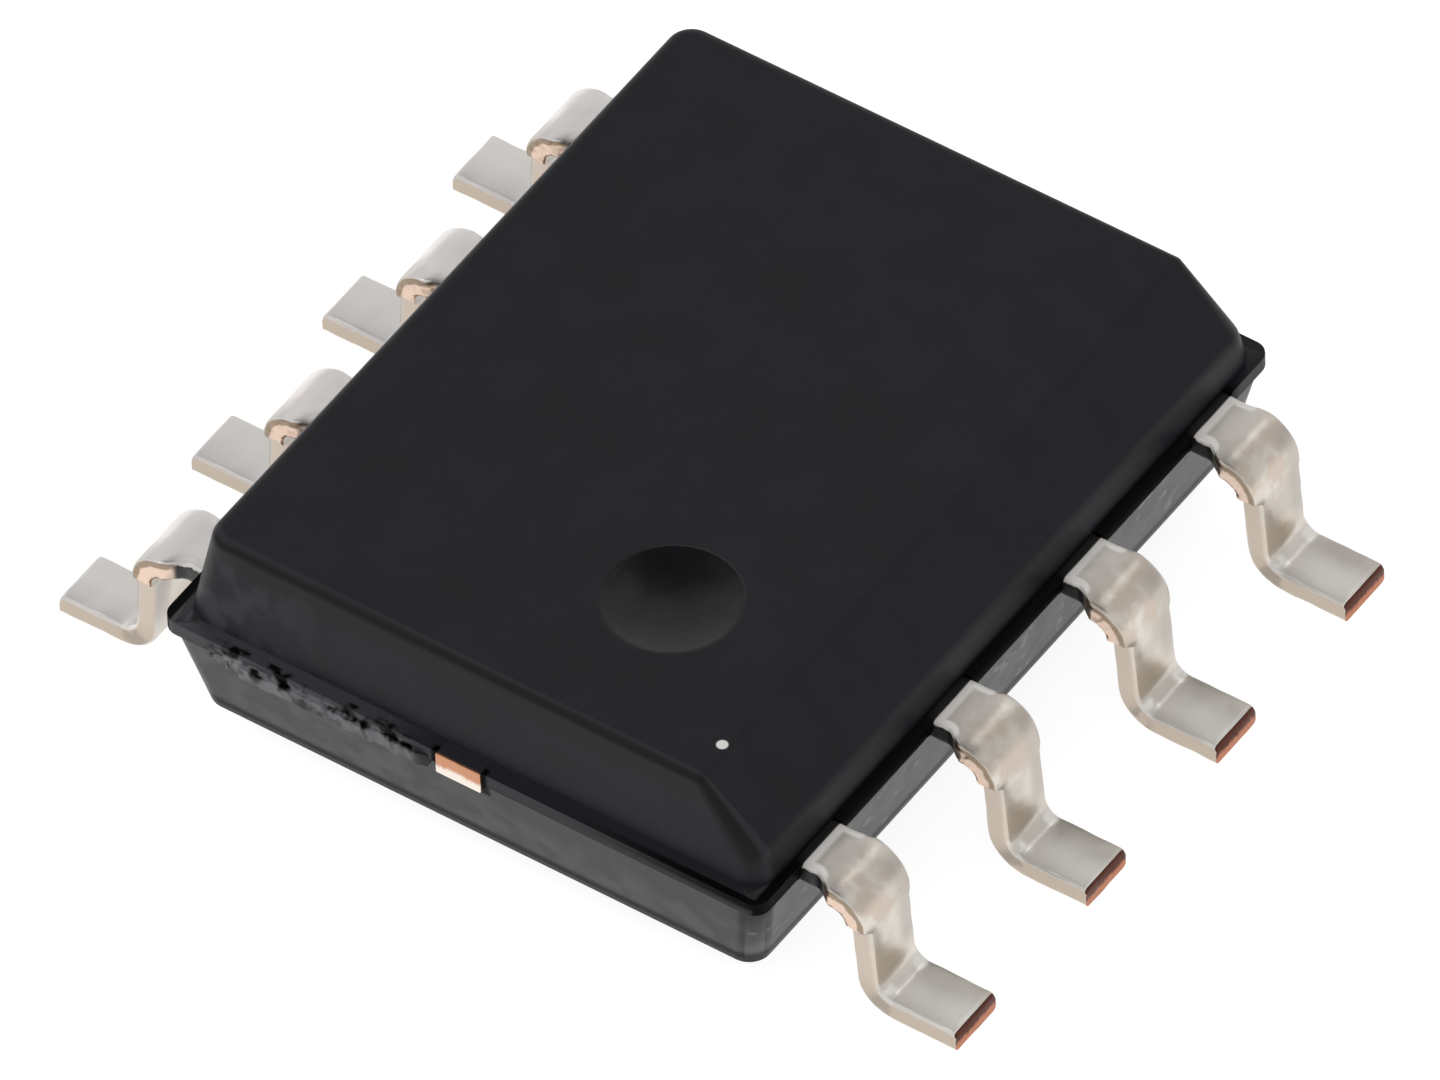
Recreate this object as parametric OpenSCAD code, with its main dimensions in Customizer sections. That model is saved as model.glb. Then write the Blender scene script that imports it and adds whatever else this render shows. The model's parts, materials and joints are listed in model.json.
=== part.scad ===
// Voltage regulator in an eight-lead small-outline package with gull-wing leads.
// Lengths are millimetres and angles are degrees. Z = 0 is the board that the feet rest on and the
// origin is under the middle of the body. +X points to leads 1 to 4, -Y to the end with the dimple.

/* [Moulded body] */
// Width at the land, across the lead rows
body_w = 4; // [3.8:0.05:4.1]
// Length at the land, along the lead rows
body_l = 5; // [4.8:0.02:5.2]
// Height of the top face above the board
body_top = 1.55; // [1.45:0.01:1.75]
// Gap between the board and the underside
standoff = 0.165; // [0.1:0.005:0.25]
// How far the land stands out from the upper half
land_step = 0.075; // [0.02:0.005:0.1]
// How far the land stands out from the lower half
under_step = 0.02; // [0.005:0.005:0.04]
// Thickness of the land, down from the upper side of the lead sheet
land_t = 0.09; // [0.05:0.01:0.14]
// Radius of the upright corners of the land
land_r = 0.1; // [0.03:0.01:0.14]
// Offset of the upper half towards the lead 1 side, where the two halves of the mould did not quite match
upper_shift = 0.025; // [0:0.005:0.04]
// Upright edge where each half starts at the land
edge_h = 0.02; // [0.01:0.005:0.04]
// Draft of the upper walls
upper_draft = 8; // [5:1:15]
// Draft of the lower walls
lower_draft = 9; // [5:1:15]
// Radius of the upright corners of the two halves
corner_r = 0.15; // [0.15:0.01:0.25]
// Rounding of the top rim
top_rim_r = 0.06; // [0.02:0.01:0.09]
// Rounding of the bottom rim
bottom_rim_r = 0.13; // [0.02:0.01:0.14]
// Drop of the 45 degree bevel along the lead 1 side
bevel = 0.4; // [0.25:0.01:0.45]

/* [Moulding marks] */
// Diameter of the lead 1 dimple at the top face
dimple_d = 0.8; // [0.5:0.02:0.9]
// Depth of the dished dimple at its middle
dimple_depth = 0.08; // [0.03:0.01:0.12]
// Distance from the middle of the body to the dimple, across
dimple_x = 0.63; // [0.4:0.01:0.9]
// Distance from the dimple to the near end of the land
dimple_from_end = 1.18; // [0.9:0.02:1.5]
// Diameter of the two ejector marks on the underside
ejector_d = 0.9; // [0.5:0.05:1.2]
// Depth of the ejector marks
ejector_depth = 0.03; // [0.02:0.005:0.05]
// Spacing of the ejector marks along the body
ejector_pitch = 2.4; // [1.6:0.1:2.8]
// Width of the broken mould gate on the near end
gate_w = 1.25; // [0.8:0.05:1.4]
// Height of the broken gate, from the underside of the sheet
gate_h = 0.085; // [0.05:0.005:0.12]
// Gap between the gate and the tie bar
gate_gap = 0.06; // [0.03:0.01:0.2]
// Furthest that the broken gate stands out
gate_proud = 0.035; // [0.02:0.005:0.04]

/* [Lead sheet] */
// Thickness of the stamped sheet
lead_t = 0.15; // [0.12:0.01:0.2]
// Height of the middle of the sheet above the board
sheet_z = 0.855; // [0.8:0.005:0.95]

/* [Leads] */
// Spacing of the leads along the body
pitch = 1.27; // [1.2:0.01:1.3]
// Width of a lead
lead_w = 0.39; // [0.32:0.01:0.5]
// Span over the tips of the feet
span = 6; // [5.8:0.05:6.2]
// Length of the flat part of a foot
foot_l = 0.41; // [0.35:0.01:0.5]
// Inside radius of the two bends
bend_r = 0.105; // [0.08:0.005:0.15]
// Lean of the leg away from the body
leg_lean = 4; // [0:1:8]
// Length of the dam-bar stubs along the shoulder bend
dam_l = 0.25; // [0.1:0.01:0.26]
// How far a dam-bar stub stands out of the lead's side
dam_proud = 0.045; // [0.02:0.005:0.06]
// Width of the bond finger inside the body
finger_w = 0.66; // [0.55:0.01:0.8]
// Length of the wide part of the bond finger
finger_l = 0.25; // [0.15:0.01:0.3]
// Moulding between the outermost fingers and the ends of the land
end_cover = 0.385; // [0.25:0.005:0.5]

/* [Die pad] */
// Width of the die pad
pad_w = 2.2; // [1.8:0.05:2.3]
// Length of the die pad
pad_l = 3.2; // [2.6:0.05:3.5]
// How far the pad is set down below the sheet
pad_drop = 0.2; // [0.1:0.01:0.25]
// Gap between the pad and the bond fingers, across
pad_gap = 0.22; // [0.15:0.01:0.25]
// Width of a tie bar
tie_w = 0.3; // [0.2:0.01:0.4]
// Length of the slope that joins a tie bar to the pad
tie_slope_l = 0.25; // [0.15:0.01:0.35]
// How far the cut end of a tie bar stands out of the land
tie_proud = 0.015; // [0.01:0.005:0.05]

/* [Die] */
// Width of the die
die_w = 1.5; // [1:0.05:1.7]
// Length of the die
die_l = 1.9; // [1.3:0.05:2.4]
// Thickness of the die
die_t = 0.25; // [0.15:0.01:0.28]
// Thickness of the die-attach layer
attach_t = 0.025; // [0.02:0.005:0.04]
// Margin of the die-attach layer round the die
attach_margin = 0.06; // [0.03:0.01:0.09]

/* [Bond wires] */
// Diameter of the wire
wire_d = 0.05; // [0.04:0.005:0.06]
// Diameter of the ball on the die
ball_d = 0.1; // [0.08:0.005:0.12]
// Height of the ball
ball_h = 0.03; // [0.02:0.005:0.05]
// Rise of the loop above the ball
loop_h = 0.19; // [0.12:0.01:0.22]
// Distance from the edge of the die to the middle of a ball
bond_inset = 0.12; // [0.08:0.01:0.2]
// Distance from the end of a finger to the end of its wire
stitch_in = 0.15; // [0.1:0.01:0.2]
// Length of wire pressed on to a finger
stitch_l = 0.08; // [0.05:0.01:0.09]

/* [Hidden] */
$fn = 48;

// Facets of the rounded corners inside a hull, and of the drawn wires
hull_fn = 32;
wire_sides = 8;
wire_steps = 9;

// Facets of the ball that forms the dimple, of which only a small cap is used
dish_fn = 96;

// Levels of the lead sheet, the pad and what is stacked on it
sheet_bottom = sheet_z - lead_t / 2;
sheet_top = sheet_z + lead_t / 2;
pad_top = sheet_top - pad_drop;
attach_top = pad_top + attach_t;
die_top = attach_top + die_t;

// Underside of the land
land_bottom = sheet_top - land_t;

// Footprints of the two halves at the land, and how far their walls lean in
upper_w = body_w - 2 * land_step;
upper_l = body_l - 2 * land_step;
lower_w = body_w - 2 * under_step;
lower_l = body_l - 2 * under_step;
upper_in = (body_top - sheet_top) * tan(upper_draft);
lower_in = (land_bottom - standoff) * tan(lower_draft);

// Lower edge of the bevel on the lead 1 wall, and its upper edge on the top face
bevel_z = body_top - bevel;
bevel_in = (bevel_z - sheet_top) * tan(upper_draft);
bevel_foot = [upper_w / 2 - bevel_in, bevel_z];
bevel_head = bevel_foot + [-bevel, bevel];

// Outward normals of the top face, the bevel and the lead 1 wall, in X and Z
top_normal = [0, 1];
bevel_normal = [cos(45), sin(45)];
wall_normal = [cos(upper_draft), sin(upper_draft)];

// Gull wing: distance across the leg between the centres of its two bends, the straight leg between
// them, the start of the shoulder bend and the stretch of it that the dam-bar stubs cover
bends_d = 2 * bend_r + lead_t;
leg_l = (sheet_bottom - lead_t - 2 * bend_r + bends_d * sin(leg_lean)) / cos(leg_lean);
shoulder_x = span / 2 - foot_l - bends_d * cos(leg_lean) - leg_l * sin(leg_lean);
dam_angle = dam_l / (bend_r + lead_t / 2) * 180 / PI;
dam_middle = (90 + leg_lean) / 2;

// Bond fingers, which fan in towards the middle of the body
finger_x = pad_w / 2 + pad_gap;
finger_shoulder = (finger_w - lead_w) / 2;
finger_pitch = (body_l - finger_w - 2 * end_cover) / 3;

// Broken edge of the mould gate: how far each tooth stands out and how wide it is, as shares
gate_teeth = 18;
gate_seed = 11;
gate_depths = rands(0.1, 1, gate_teeth + 1, gate_seed);
gate_steps = rands(0.3, 1.7, gate_teeth, gate_seed + 1);

// The end of the wire loop's upright start, which makes its crest as high as loop_h
loop_handle = loop_h * 9 / 4;
wire_r = wire_d / 2;
wire_flat = wire_r * cos(180 / wire_sides);

// Row position of lead i seen from its own side, in steps of the pitch
function row(i) = i <= 4 ? i - 2.5 : i - 6.5;

// Turn that takes the lead 1 side to the side of lead i
function turn(i) = i <= 4 ? 0 : 180;

// Centre of a round of radius r that touches two planes meeting at p, with normals n1 and n2
function round_centre(p, n1, n2, r) = p - r * (n1 + n2) / (1 + n1 * n2);

// Sum of the first n values of a list
function sum(values, n) = n == 0 ? 0 : values[n - 1] + sum(values, n - 1);

// Half the length of the upper half at height z
function upper_reach(z) = upper_l / 2 - (z - sheet_top) * tan(upper_draft);

// Point on a cubic curve, and the angle of its tangent above the horizontal
function cubic(p, t) =
    p[0] * pow(1 - t, 3) + 3 * p[1] * pow(1 - t, 2) * t + 3 * p[2] * (1 - t) * t * t + p[3] * pow(t, 3);
function cubic_slope(p, t) =
    let (d = (p[1] - p[0]) * pow(1 - t, 2) + 2 * (p[2] - p[1]) * (1 - t) * t + (p[3] - p[2]) * t * t)
    atan2(d[1], d[0]);

// Disc with a rounded upper rim, its top at Z = 0
module rim_disc(r, rim) {
    arc = [for (a = [0 : 30 : 90]) [r - rim + rim * cos(a), rim * sin(a) - rim]];
    rotate_extrude($fn = hull_fn)
        polygon(concat([[0, -rim]], arc, [[0, 0]]));
}

// Four copies at the corners of a rectangle of w by l
module at_corners(w, l) {
    for (sx = [-1, 1], sy = [-1, 1])
        translate([sx * w / 2, sy * l / 2, 0])
            children();
}

// Upper half: drafted walls, round corners, bevel along the lead 1 side
module upper_half() {
    head = round_centre(bevel_head, top_normal, bevel_normal, top_rim_r);
    foot = round_centre(bevel_foot, bevel_normal, wall_normal, corner_r);
    rim_x = upper_w / 2 - upper_in - corner_r;
    rim_y = upper_l / 2 - upper_in - corner_r;
    hull() {
        translate([0, 0, sheet_top])
            at_corners(upper_w - 2 * corner_r, upper_l - 2 * corner_r)
                cylinder(r = corner_r, h = edge_h, $fn = hull_fn);
        for (side = [-1, 1]) {
            translate([-rim_x, side * rim_y, body_top])
                rim_disc(corner_r, top_rim_r);
            translate([head[0], side * (upper_reach(head[1]) - top_rim_r), head[1]])
                sphere(top_rim_r, $fn = hull_fn);
            translate([foot[0], side * (upper_reach(foot[1]) - corner_r), foot[1]])
                sphere(corner_r, $fn = hull_fn);
        }
    }
}

// Lower half: drafted walls with a rounder rim underneath
module lower_half() {
    base_w = lower_w - 2 * lower_in - 2 * corner_r;
    base_l = lower_l - 2 * lower_in - 2 * corner_r;
    hull() {
        translate([0, 0, land_bottom - edge_h])
            at_corners(lower_w - 2 * corner_r, lower_l - 2 * corner_r)
                cylinder(r = corner_r, h = edge_h + land_t / 2, $fn = hull_fn);
        translate([0, 0, standoff])
            at_corners(base_w, base_l)
                mirror([0, 0, 1])
                    rim_disc(corner_r, bottom_rim_r);
    }
}

// Land at the level of the lead sheet, where the two halves of the mould met
module land() {
    translate([0, 0, land_bottom])
        hull()
            at_corners(body_w - 2 * land_r, body_l - 2 * land_r)
                cylinder(r = land_r, h = land_t, $fn = hull_fn);
}

// Stump of the gate that the resin came in by, broken off unevenly at the near end of the land
module gate() {
    gate_right = -tie_w / 2 - gate_gap;
    step = gate_w / sum(gate_steps, gate_teeth);
    broken = [for (k = [0 : gate_teeth])
        [gate_right - step * sum(gate_steps, k), -body_l / 2 - gate_proud * gate_depths[k]]];
    root = [[gate_right - gate_w, 0], [gate_right, 0]];
    translate([0, 0, sheet_bottom])
        linear_extrude(gate_h)
            polygon(concat(broken, root));
}

// Dished dimple in the top face that marks lead 1
module dimple() {
    dish_r = (pow(dimple_d / 2, 2) + pow(dimple_depth, 2)) / (2 * dimple_depth);
    translate([dimple_x, dimple_from_end - body_l / 2, body_top - dimple_depth + dish_r])
        sphere(dish_r, $fn = dish_fn);
}

// Shallow round marks that the ejector pins leave on the underside
module ejector_marks() {
    for (side = [-1, 1])
        translate([0, side * ejector_pitch / 2, standoff])
            cylinder(d = ejector_d, h = ejector_depth);
}

// Body moulded round the lead frame, the die and the wires, which leave their own shapes in it
module moulded_body() {
    color("#2a2a2d")
        difference() {
            union() {
                translate([upper_shift, 0, 0])
                    upper_half();
                land();
                gate();
                lower_half();
            }
            dimple();
            ejector_marks();
            for (i = [1 : 8]) {
                lead(i);
                bond_wire(i);
            }
            die_pad();
            die_attach();
            die();
        }
}

// Part of a bend in the sheet, w wide, from one angle to another round the Y axis
module bend(from, to, w) {
    rotate([90, 0, 0])
        rotate([0, 0, from])
            rotate_extrude(angle = to - from)
                translate([bend_r, -w / 2])
                    square([lead_t, w]);
}

// Bond finger with a wide inner end, aside of the lead by off, up to the start of the shoulder bend
module finger(off) {
    outline = [for (side = [1, -1]) [
        [finger_x, off + side * finger_w / 2],
        [finger_x + finger_l, off + side * finger_w / 2],
        [finger_x + finger_l + finger_shoulder, side * lead_w / 2],
        [shoulder_x, side * lead_w / 2]
    ]];
    back = [for (k = [3 : -1 : 0]) outline[1][k]];
    translate([0, 0, sheet_bottom])
        linear_extrude(lead_t)
            polygon(concat(outline[0], back));
}

// Gull wing: shoulder bend with the dam-bar stubs, leaning leg, foot bend and foot, each placed on
// the end of the one before it
module gull_wing() {
    translate([shoulder_x, 0, sheet_bottom - bend_r]) {
        bend(leg_lean, 90, lead_w);
        bend(dam_middle - dam_angle / 2, dam_middle + dam_angle / 2, lead_w + 2 * dam_proud);
        rotate([0, -leg_lean, 0]) {
            translate([bend_r, -lead_w / 2, -leg_l])
                cube([lead_t, lead_w, leg_l]);
            translate([bends_d, 0, -leg_l]) {
                bend(180, 270 - leg_lean, lead_w);
                rotate([0, leg_lean, 0])
                    translate([0, -lead_w / 2, -bend_r - lead_t])
                        cube([foot_l, lead_w, lead_t]);
            }
        }
    }
}

// One lead, numbered counter-clockwise from the dimple seen from above
module lead(i) {
    color("#b9b3ad")
        rotate([0, 0, turn(i)])
            translate([0, row(i) * pitch, 0]) {
                finger(row(i) * (finger_pitch - pitch));
                gull_wing();
            }
}

// Die pad, set down below the sheet, with a tie bar to the middle of each end of the body
module die_pad() {
    bar_end = body_l / 2 + tie_proud;
    slope_end = pad_l / 2 + tie_slope_l;
    top_line = [[0, pad_top], [pad_l / 2, pad_top], [slope_end, sheet_top], [bar_end, sheet_top]];
    low_line = [for (k = [3 : -1 : 0]) top_line[k] - [0, lead_t]];
    color("#b87a5c") {
        translate([-pad_w / 2, -pad_l / 2, pad_top - lead_t])
            cube([pad_w, pad_l, lead_t]);
        for (side = [0, 180])
            rotate([90, 0, 90 + side])
                translate([0, 0, -tie_w / 2])
                    linear_extrude(tie_w)
                        polygon(concat(top_line, low_line));
    }
}

// Layer of epoxy that holds the die on the pad
module die_attach() {
    attach_w = die_w + 2 * attach_margin;
    attach_l = die_l + 2 * attach_margin;
    color("#9a9a94")
        translate([-attach_w / 2, -attach_l / 2, pad_top])
            cube([attach_w, attach_l, attach_t]);
}

// Silicon die
module die() {
    color("#5f6670")
        translate([-die_w / 2, -die_l / 2, attach_top])
            cube([die_w, die_l, die_t]);
}

// Ring of a wire at p, heading along dir at an angle above the horizontal
function wire_ring(p, dir, tilt, r) =
    let (side = [-dir[1], dir[0], 0])
    let (up = [-sin(tilt) * dir[0], -sin(tilt) * dir[1], cos(tilt)])
    [for (k = [0 : wire_sides - 1])
        let (a = (k + 0.5) * 360 / wire_sides)
        p + r * (cos(a) * side + sin(a) * up)];

// Bond wire: ball on the die, loop, and stitch on the finger of lead i
module bond_wire(i) {
    ball = [die_w / 2 - bond_inset, row(i) * (die_l - 2 * bond_inset) / 3];
    stitch = [finger_x + stitch_in, row(i) * finger_pitch];
    run = norm(stitch - ball);
    dir = (stitch - ball) / run;
    ball_top = die_top + ball_h;
    rest_z = sheet_top + wire_flat;
    landing = run - stitch_l;
    loop = [[0, ball_top], [0, ball_top + loop_handle], [landing / 2, rest_z], [landing, rest_z]];
    // Stations along the wire: distance from the ball, height, tilt and radius
    ball_stations = [[0, die_top, 90, ball_d / 2], [0, ball_top, 90, ball_d / 2]];
    loop_stations = [for (k = [0 : wire_steps])
        let (t = k / wire_steps)
        let (q = cubic(loop, t))
        [q[0], q[1], cubic_slope(loop, t), wire_r]];
    stations = concat(ball_stations, loop_stations, [[run, rest_z, 0, wire_r]]);
    rings = [for (s = stations)
        wire_ring([ball[0] + dir[0] * s[0], ball[1] + dir[1] * s[0], s[1]], dir, s[2], s[3])];
    points = [for (ring = rings) each ring];
    last = (len(stations) - 1) * wire_sides;
    skin = [for (s = [0 : len(stations) - 2], k = [0 : wire_sides - 1])
        let (a = s * wire_sides + k)
        let (b = s * wire_sides + (k + 1) % wire_sides)
        each [[a, a + wire_sides, b + wire_sides], [a, b + wire_sides, b]]];
    start_cap = [[for (k = [0 : wire_sides - 1]) k]];
    end_cap = [[for (k = [wire_sides - 1 : -1 : 0]) last + k]];
    color("#c9a35a")
        rotate([0, 0, turn(i)])
            polyhedron(points, concat(start_cap, skin, end_cap));
}

moulded_body();
for (i = [1 : 8]) lead(i);
die_pad();
die_attach();
die();
for (i = [1 : 8]) bond_wire(i);
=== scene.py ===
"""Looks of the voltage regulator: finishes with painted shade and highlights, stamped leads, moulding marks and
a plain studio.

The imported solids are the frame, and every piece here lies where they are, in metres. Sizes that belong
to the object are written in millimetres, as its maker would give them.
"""

import json
import logging
import math
from dataclasses import dataclass
from enum import Enum

import bmesh
import bpy
from bmesh.types import BMesh, BMVert
from bpy.types import Material, Mesh, Node, NodeSocket, NodeTree, Object
from mathutils import Matrix, Vector

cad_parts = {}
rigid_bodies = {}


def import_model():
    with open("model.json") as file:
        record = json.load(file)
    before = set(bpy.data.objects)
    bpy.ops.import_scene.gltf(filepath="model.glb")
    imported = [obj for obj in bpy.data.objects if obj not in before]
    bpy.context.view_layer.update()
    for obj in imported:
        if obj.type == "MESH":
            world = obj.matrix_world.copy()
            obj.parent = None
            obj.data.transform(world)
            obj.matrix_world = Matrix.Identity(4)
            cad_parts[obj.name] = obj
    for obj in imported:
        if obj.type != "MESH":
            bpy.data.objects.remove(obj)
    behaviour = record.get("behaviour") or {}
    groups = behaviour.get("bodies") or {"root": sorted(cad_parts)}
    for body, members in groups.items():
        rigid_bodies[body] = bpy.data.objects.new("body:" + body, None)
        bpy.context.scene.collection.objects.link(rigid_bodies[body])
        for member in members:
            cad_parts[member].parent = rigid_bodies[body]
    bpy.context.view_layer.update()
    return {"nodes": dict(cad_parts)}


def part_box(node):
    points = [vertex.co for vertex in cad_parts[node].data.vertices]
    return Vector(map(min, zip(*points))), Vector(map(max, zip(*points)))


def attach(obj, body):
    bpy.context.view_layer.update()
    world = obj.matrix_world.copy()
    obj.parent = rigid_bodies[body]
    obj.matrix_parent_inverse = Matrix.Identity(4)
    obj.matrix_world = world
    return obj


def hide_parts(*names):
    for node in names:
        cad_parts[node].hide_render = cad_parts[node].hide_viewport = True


LOG = logging.getLogger("voltage_regulator")

MM = 0.001
LEADS_PER_ROW = 4
LEAD_NUMBERS = range(1, 2 * LEADS_PER_ROW + 1)
SHARP_DEG = 32
FLAT_DEG = 0.3
MERGE_MM = 1e-4
NOISE_MIDDLE = 0.5

Limit = tuple[object, object, object]
Pair = tuple[float, float]
Point = tuple[float, float, float]
WHOLE: Pair = (0.0, 1.0)


class Slot(Enum):
    """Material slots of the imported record."""

    MOULD_COMPOUND = "mould_compound"
    TINNED_LEAD = "tinned_lead"
    BARE_COPPER = "bare_copper"


def linear(hex_code: str) -> tuple[float, float, float, float]:
    """Turns an sRGB hex colour into linear light.

    Args:
        hex_code: the colour as "#rrggbb".

    Returns:
        Red, green, blue and a full alpha.
    """
    parts = [int(hex_code[k:k + 2], 16) / 255 for k in (1, 3, 5)]
    light = [c / 12.92 if c <= 0.04045 else ((c + 0.055) / 1.055) ** 2.4 for c in parts]
    return (*light, 1.0)


def add(tree: NodeTree, kind: str, feeds: dict | None = None, **settings: object) -> Node:
    """Adds a node to a tree with its settings and links.

    Args:
        tree: the shader or geometry tree.
        kind: the node's type.
        feeds: for each input, by name or number, a node or socket to link or a value to set.
        settings: the node's own properties.

    Returns:
        The new node.
    """
    made = tree.nodes.new(kind)
    for name, value in settings.items():
        setattr(made, name, value)
    for key, value in (feeds or {}).items():
        if isinstance(value, Node):
            value = next(output for output in value.outputs if output.enabled)
        if isinstance(value, NodeSocket):
            tree.links.new(value, made.inputs[key])
        else:
            made.inputs[key].default_value = value
    return made


def share(tree: NodeTree, *limits: Limit, most: object = 1.0) -> object:
    """Works out how much of a coat or a form there is where several limits apply at once.

    Args:
        tree: the shader or geometry tree.
        limits: for each, a value, where the coat starts as the value changes, and where it is full.
        most: the share where every limit is passed.

    Returns:
        The share, which rises smoothly from nothing to most.
    """
    for value, start, full in limits:
        feeds = {"Value": value, "From Min": start, "From Max": full, "To Max": most}
        most = add(tree, "ShaderNodeMapRange", feeds, interpolation_type="SMOOTHSTEP")
    return most


def coat(tree: NodeTree, ground: object, over: object, *limits: Limit, most: object = 1.0) -> Node:
    """Lays one colour over another where several limits apply at once.

    Args:
        tree: the shader tree.
        ground: the colour below, as a hex code or a node.
        over: the colour on top, likewise.
        limits: limits of the top colour, as share takes them.
        most: how much of the top colour shows where every limit is passed.

    Returns:
        The mixed colour.
    """
    ground, over = (linear(colour) if isinstance(colour, str) else colour for colour in (ground, over))
    # Inputs 6 and 7 of a Mix node are the two colours
    feeds = {0: share(tree, *limits, most=most), 6: ground, 7: over}
    return add(tree, "ShaderNodeMix", feeds, data_type="RGBA")


def coats(tree: NodeTree, ground: object, layers: tuple[tuple, ...]) -> object:
    """Lays several colours over one another.

    Args:
        tree: the shader tree.
        ground: the colour below them all, as coat takes it.
        layers: for each, from the lowest, its colour, how much of it shows at most, and its limits.

    Returns:
        The mixed colour.
    """
    for over, most, *limits in layers:
        ground = coat(tree, ground, over, *limits, most=most)
    return ground


@dataclass(frozen=True)
class Finish:
    """A surface finish, made once as a procedural material on Object coordinates.

    Attributes:
        name: what the surface is.
        roughness: roughness of the bare surface.
        metallic: 1 for metal, 0 for resin.
    """

    name: str
    roughness: float
    metallic: float

    def material(self) -> Material:
        """Makes the finish's material at its first use.

        Returns:
            The material.
        """
        made = bpy.data.materials.get(self.name)
        if made:
            return made
        made = bpy.data.materials.new(self.name)
        made.use_nodes = True
        tree = made.node_tree
        tree.nodes.clear()
        place = add(tree, "ShaderNodeTexCoord").outputs["Object"]
        in_mm = add(tree, "ShaderNodeMapping", {"Vector": place, "Scale": (1 / MM,) * 3})
        look = {"Metallic": self.metallic, "Roughness": self.roughness, **self.paint(tree, in_mm)}
        add(tree, "ShaderNodeOutputMaterial", {"Surface": add(tree, "ShaderNodeBsdfPrincipled", look)})
        return made

    def paint(self, tree: NodeTree, in_mm: Node) -> dict[str, object]:
        """Makes the finish's own pattern.

        Args:
            tree: the material's tree.
            in_mm: Object coordinates in millimetres.

        Returns:
            What feeds each input of the surface shader.
        """
        raise NotImplementedError


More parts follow.
